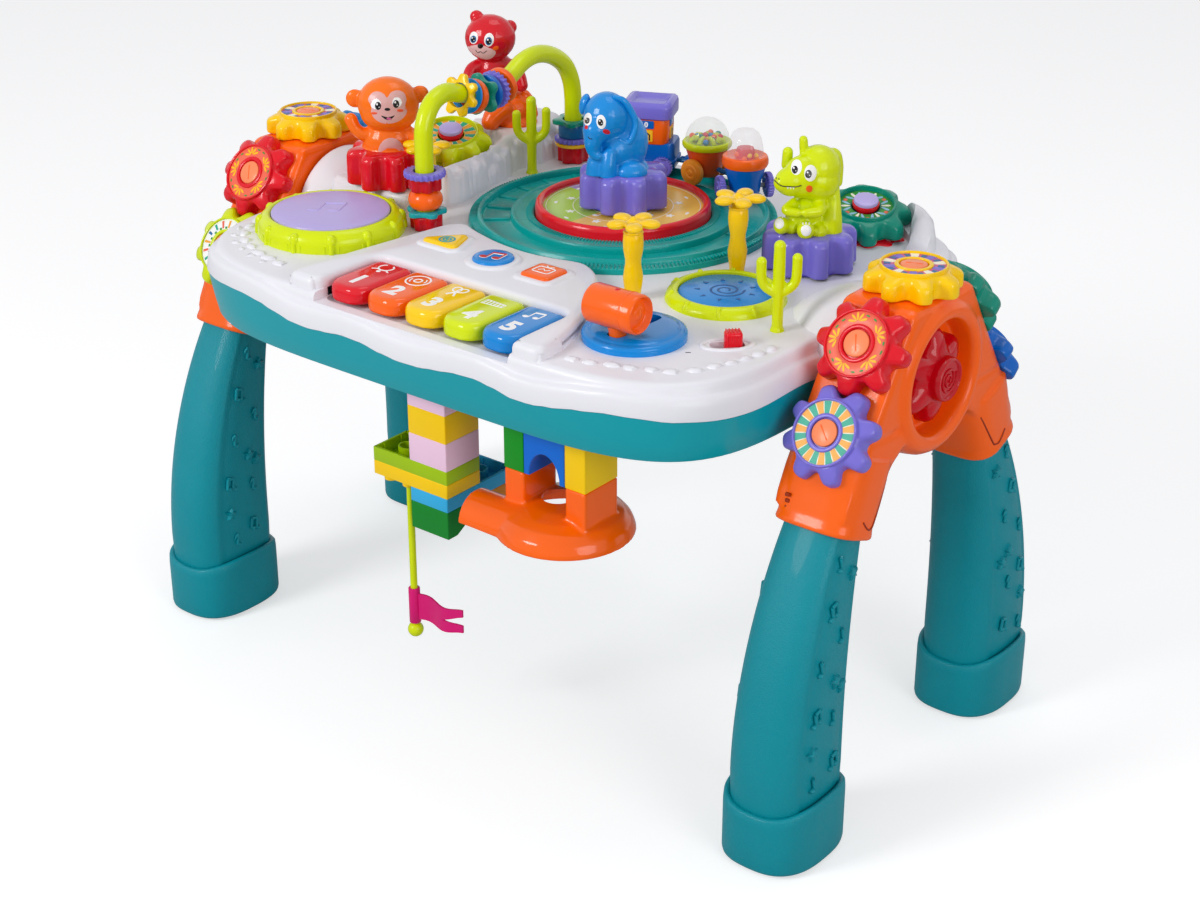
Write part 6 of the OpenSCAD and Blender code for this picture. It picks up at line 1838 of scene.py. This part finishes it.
def brick(p, x, y, top, nx, ny, h, mat, w=1.9):
    """Block hanging with its open side up: studs below, tubes inside."""
    x0, y0, x1, y1 = x + 0.1, y + 0.1, x + nx * PITCH - 0.1, y + ny * PITCH - 0.1
    out = rounded([(x0, y0), (x1, y0), (x1, y1), (x0, y1)], 0.9, 3)
    z0, z1 = top - h, top
    rows = [(0.5, z0), (0.15, z0 + 0.15), (0, z0 + 0.5), (0, z1 - 0.35), (0.3, z1), (w, z1), (w, z0 + 1.6)]
    p.prism(out, rows, mat)
    for i in range(nx):
        for j in range(ny):
            p.revolve([(0, -4.4), (4.2, -4.4), (4.6, -4.2), (4.7, -3.8), (4.7, 0.2)], mat,
                      T_(x + (i + 0.5) * PITCH, y + (j + 0.5) * PITCH, z0), 28)
    for i in range(1, nx):
        for j in range(1, ny):
            ringlet(p, 5.0, 6.4, z0 + 1, z1 - 0.3, mat, T_(x + i * PITCH, y + j * PITCH, 0), 0.3, 32)
    for i in range(nx):
        for s, yy in ((1, y0 + w), (-1, y1 - w)):
            p.box((x + (i + 0.5) * PITCH - 0.5, min(yy, yy + s * 1.3), z0 + 1),
                  (x + (i + 0.5) * PITCH + 0.5, max(yy, yy + s * 1.3), z1 - 0.4), mat,
                  bevel=0.1)
    for j in range(ny):
        for s, xx in ((1, x0 + w), (-1, x1 - w)):
            p.box((min(xx, xx + s * 1.3), y + (j + 0.5) * PITCH - 0.5, z0 + 1),
                  (max(xx, xx + s * 1.3), y + (j + 0.5) * PITCH + 0.5, z1 - 0.4), mat,
                  bevel=0.1)


def toy(key):
    return M_(key, rough=0.32, grain=0.04, coat=0.15)


p = Part()
ph = BRICK_H / 2
z = DECK_LOW
for key in ("pink", "brick_yellow", "pink"):
    brick(p, TX, TY, z, 2, 2, BRICK_H, toy(key))
    z -= BRICK_H
brick(p, TX - 32, TY, z, 4, 2, ph, toy("brick_lime"))
brick(p, TX - 32, TY, z - ph, 4, 2, ph, toy("brick_yellow"))
brick(p, TX, TY, z - 2 * ph, 2, 4, ph, toy("brick_blue"))
z3 = z - 3 * ph
G = toy("brick_dark")
out = [(TY + 0.1, z3), (TY + 31.9, z3), (TY + 31.9, z3 - 6), (TY + 9, z3 - BRICK_H), (TY + 0.1, z3 - BRICK_H)]
p.loft([[(x, a, b) for a, b in inset(rounded(out, 0.8, 3), d)] for d,
        x in ((0.4, TX + 0.1), (0, TX + 0.5), (0, TX + 31.5), (0.4, TX + 31.9))], G)
brick(p, TX, TY + 32, z3, 2, 2, BRICK_H, toy("amber"))
POLE = (TX - 0.5 * PITCH, TY + 0.5 * PITCH)
pole_top, pole_l = z - 2 * ph - 4.4, 107
POLE_LIME = M_("lime", rough=0.26, coat=0.3)
p.tube([(POLE[0], POLE[1], pole_top - pole_l), (POLE[0], POLE[1], pole_top - 40),
        (POLE[0], POLE[1], pole_top + 0.5)], 2.35, POLE_LIME, None, 20)
p.ball((POLE[0], POLE[1], pole_top - pole_l), 5.3, POLE_LIME, None, 24, 14)
p.make("building_bricks", "deck", ["building_bricks"], "brick_plastic", angle=34)

p = Part()
FLAG = M_("magenta", rough=0.3, coat=0.25)
fz = pole_top - pole_l + 5.6
p.revolve([(2.5, 0), (3.6, 0), (3.9, 0.4), (3.9, 25.4), (3.6, 25.9), (2.5, 25.9), (2.5, 0)], FLAG,
          T_(POLE[0], POLE[1], fz), 28)
nu, nv = 28, 8


def cloth(u, v, side):
    """Point of the waving flag: u along it, v up it, on one of its two sides."""
    y = 1.9 * sin(u * 7.6) * (0.3 + 0.7 * u)
    z = (2 * v - 1) * (9.6 - 1.2 * u) + 0.9 * sin(u * 7.6)
    return (POLE[0] + 3.2 + 38 * u, POLE[1] + y + side * 0.65, fz + 12.6 + z)


for lo, hi in ((0.0, 0.5), (0.5, 1.0)):
    verts, faces = [], []
    for side in (1, -1):
        for i in range(nu + 1):
            u = i / nu
            cutk = max(0.0, u - 0.60) / 0.40
            for j in range(nv + 1):
                v = lo + (hi - lo) * j / nv
                edge = 0.5 + (0.19 * cutk if lo == 0.5 else -0.19 * cutk)
                v = (edge + (1 - edge) * (v - 0.5) / 0.5) if lo == 0.5 else edge * (v / 0.5)
                verts.append(cloth(u, v, side))
    n1 = (nu + 1) * (nv + 1)
    for i in range(nu):
        for j in range(nv):
            a = i * (nv + 1) + j
            faces.append([a, a + nv + 1, a + nv + 2, a + 1])
            faces.append([n1 + a, n1 + a + 1, n1 + a + nv + 2, n1 + a + nv + 1])
    for i in range(nu):
        for j in (0, nv):
            a = i * (nv + 1) + j
            faces.append([a, n1 + a, n1 + a + nv + 1, a + nv + 1])
    for j in range(nv):
        for i in (0, nu):
            a = i * (nv + 1) + j
            faces.append([a, a + 1, n1 + a + 1, n1 + a])
    p.add(verts, faces, FLAG)
p.make("flag", "flag", ["flag"], "flag_plastic", angle=60)

BX = TX + 80
z = DECK_LOW
h2 = 2 * BRICK_H
p = Part()
brick(p, BX, TY, z, 1, 2, h2, toy("brick_green"))
brick(p, BX + 3 * PITCH, TY, z, 1, 2, h2, toy("brick_yellow"))
B = toy("brick_royal")
a0, a1 = BX + PITCH + 0.1, BX + 3 * PITCH - 0.1
ARCH_R, ARCH_RISE = 12, 17
arch = [(a0, z), (a0, z - h2)]
arch += [(BX + 2 * PITCH + ARCH_R * cos(radians(t)), z - h2 + ARCH_RISE * sin(radians(t)))
         for t in range(180, -1, -12)]
arch += [(a1, z - h2), (a1, z)]
p.loft([[(x, y, zz) for x, zz in inset(arch, d)] for d, y in ((0.4, TY + 0.1), (0, TY + 0.5), (0, TY + 31.5),
                                                              (0.4, TY + 31.9))], B)
SLIDE = plastic("slide_orange", (255, 100, 0), rough=0.16, coat=0.6, mottle=0.02)
zb = z - h2
cx, cy = BX + 2 * PITCH + 1, TY + PITCH + 3
bowl = Part()
bowl.revolve([(0, 0), (43.8, 0), (44, 1.2), (43.6, 3.4), (41.6, 8.4), (37, 13.6), (30, 17.4), (20, 19.6),
              (0, 20.4)], SLIDE, T_(cx, cy, zb - 40), 72)
mouth = []
for x, r in ((BX - 24, 17.4), (BX - 22.5, 17.0), (BX - 10, 17), (BX + 6, 17.6), (BX + 22, 18.6)):
    mouth.append([(x, TY + r * cos(radians(t)), zb - 40 + max(0, r * sin(radians(t))))
                  for t in range(0, 181, 12)])
bowl.loft(mouth, SLIDE)
for x in (BX + 0.1, BX + 3 * PITCH + 0.1):
    x1, y0, y1 = x + PITCH - 0.2, TY + 0.1, TY + 2 * PITCH - 0.1
    bowl.prism([(x, y0), (x1, y0), (x1, y1), (x, y1)], [(0, zb - 36), (0, zb)], SLIDE)
v, faces = remesh(bowl, 1.1, 4)
shellp = Part()
shellp.add([(q.x, q.y, min(q.z, zb - 0.05)) for q in v], faces, SLIDE)
hollow = Part()
hollow.revolve([(0, -3), (41.4, -3), (41.4, 1.2), (39.2, 7.4), (35, 12), (28.4, 15.4), (20, 17.2), (0, 18)],
               SLIDE, T_(cx, cy, zb - 40), 72)
channel = Part()
ch = []
for x, r in ((BX - 27, 14.8), (BX - 10, 14.8), (BX + 20, 15.4)):
    half_round = [(x, TY + r * cos(radians(t)), zb - 40 + r * sin(radians(t))) for t in range(0, 181, 12)]
    ch.append(half_round + [(x, TY - r, zb - 43), (x, TY + r, zb - 43)])
channel.loft(ch, SLIDE)
hole = Part()
hole.revolve([(0, 0), (10.5, 0), (10.5, 16), (0, 16)], SLIDE, T_(cx - 6, cy + 1, zb - 30), 40)
shellp = cut(shellp, hollow, channel, hole)
join(p, shellp).make("slide_bridge", "deck", ["slide_bridge"], "slide_plastic", angle=38)

# ---------------------------------------------------------------- plain materials of the CAD pieces that stay
KEPT = dict(circuit_board=plastic("board", (24, 96, 58), rough=0.5, mottle=0.2),
            speaker=plastic("cone", (44, 44, 48), rough=0.6),
            battery_cells=plastic("cell_sleeve", (52, 60, 70), rough=0.3), battery_door=TEAL,
            deck_pivots=WHITE,
            deck_screws=plastic("screw_steel", (150, 152, 156), rough=0.4, mottle=0.1))
for name, m in KEPT.items():
    for s in NODES[name].material_slots:
        s.material = m
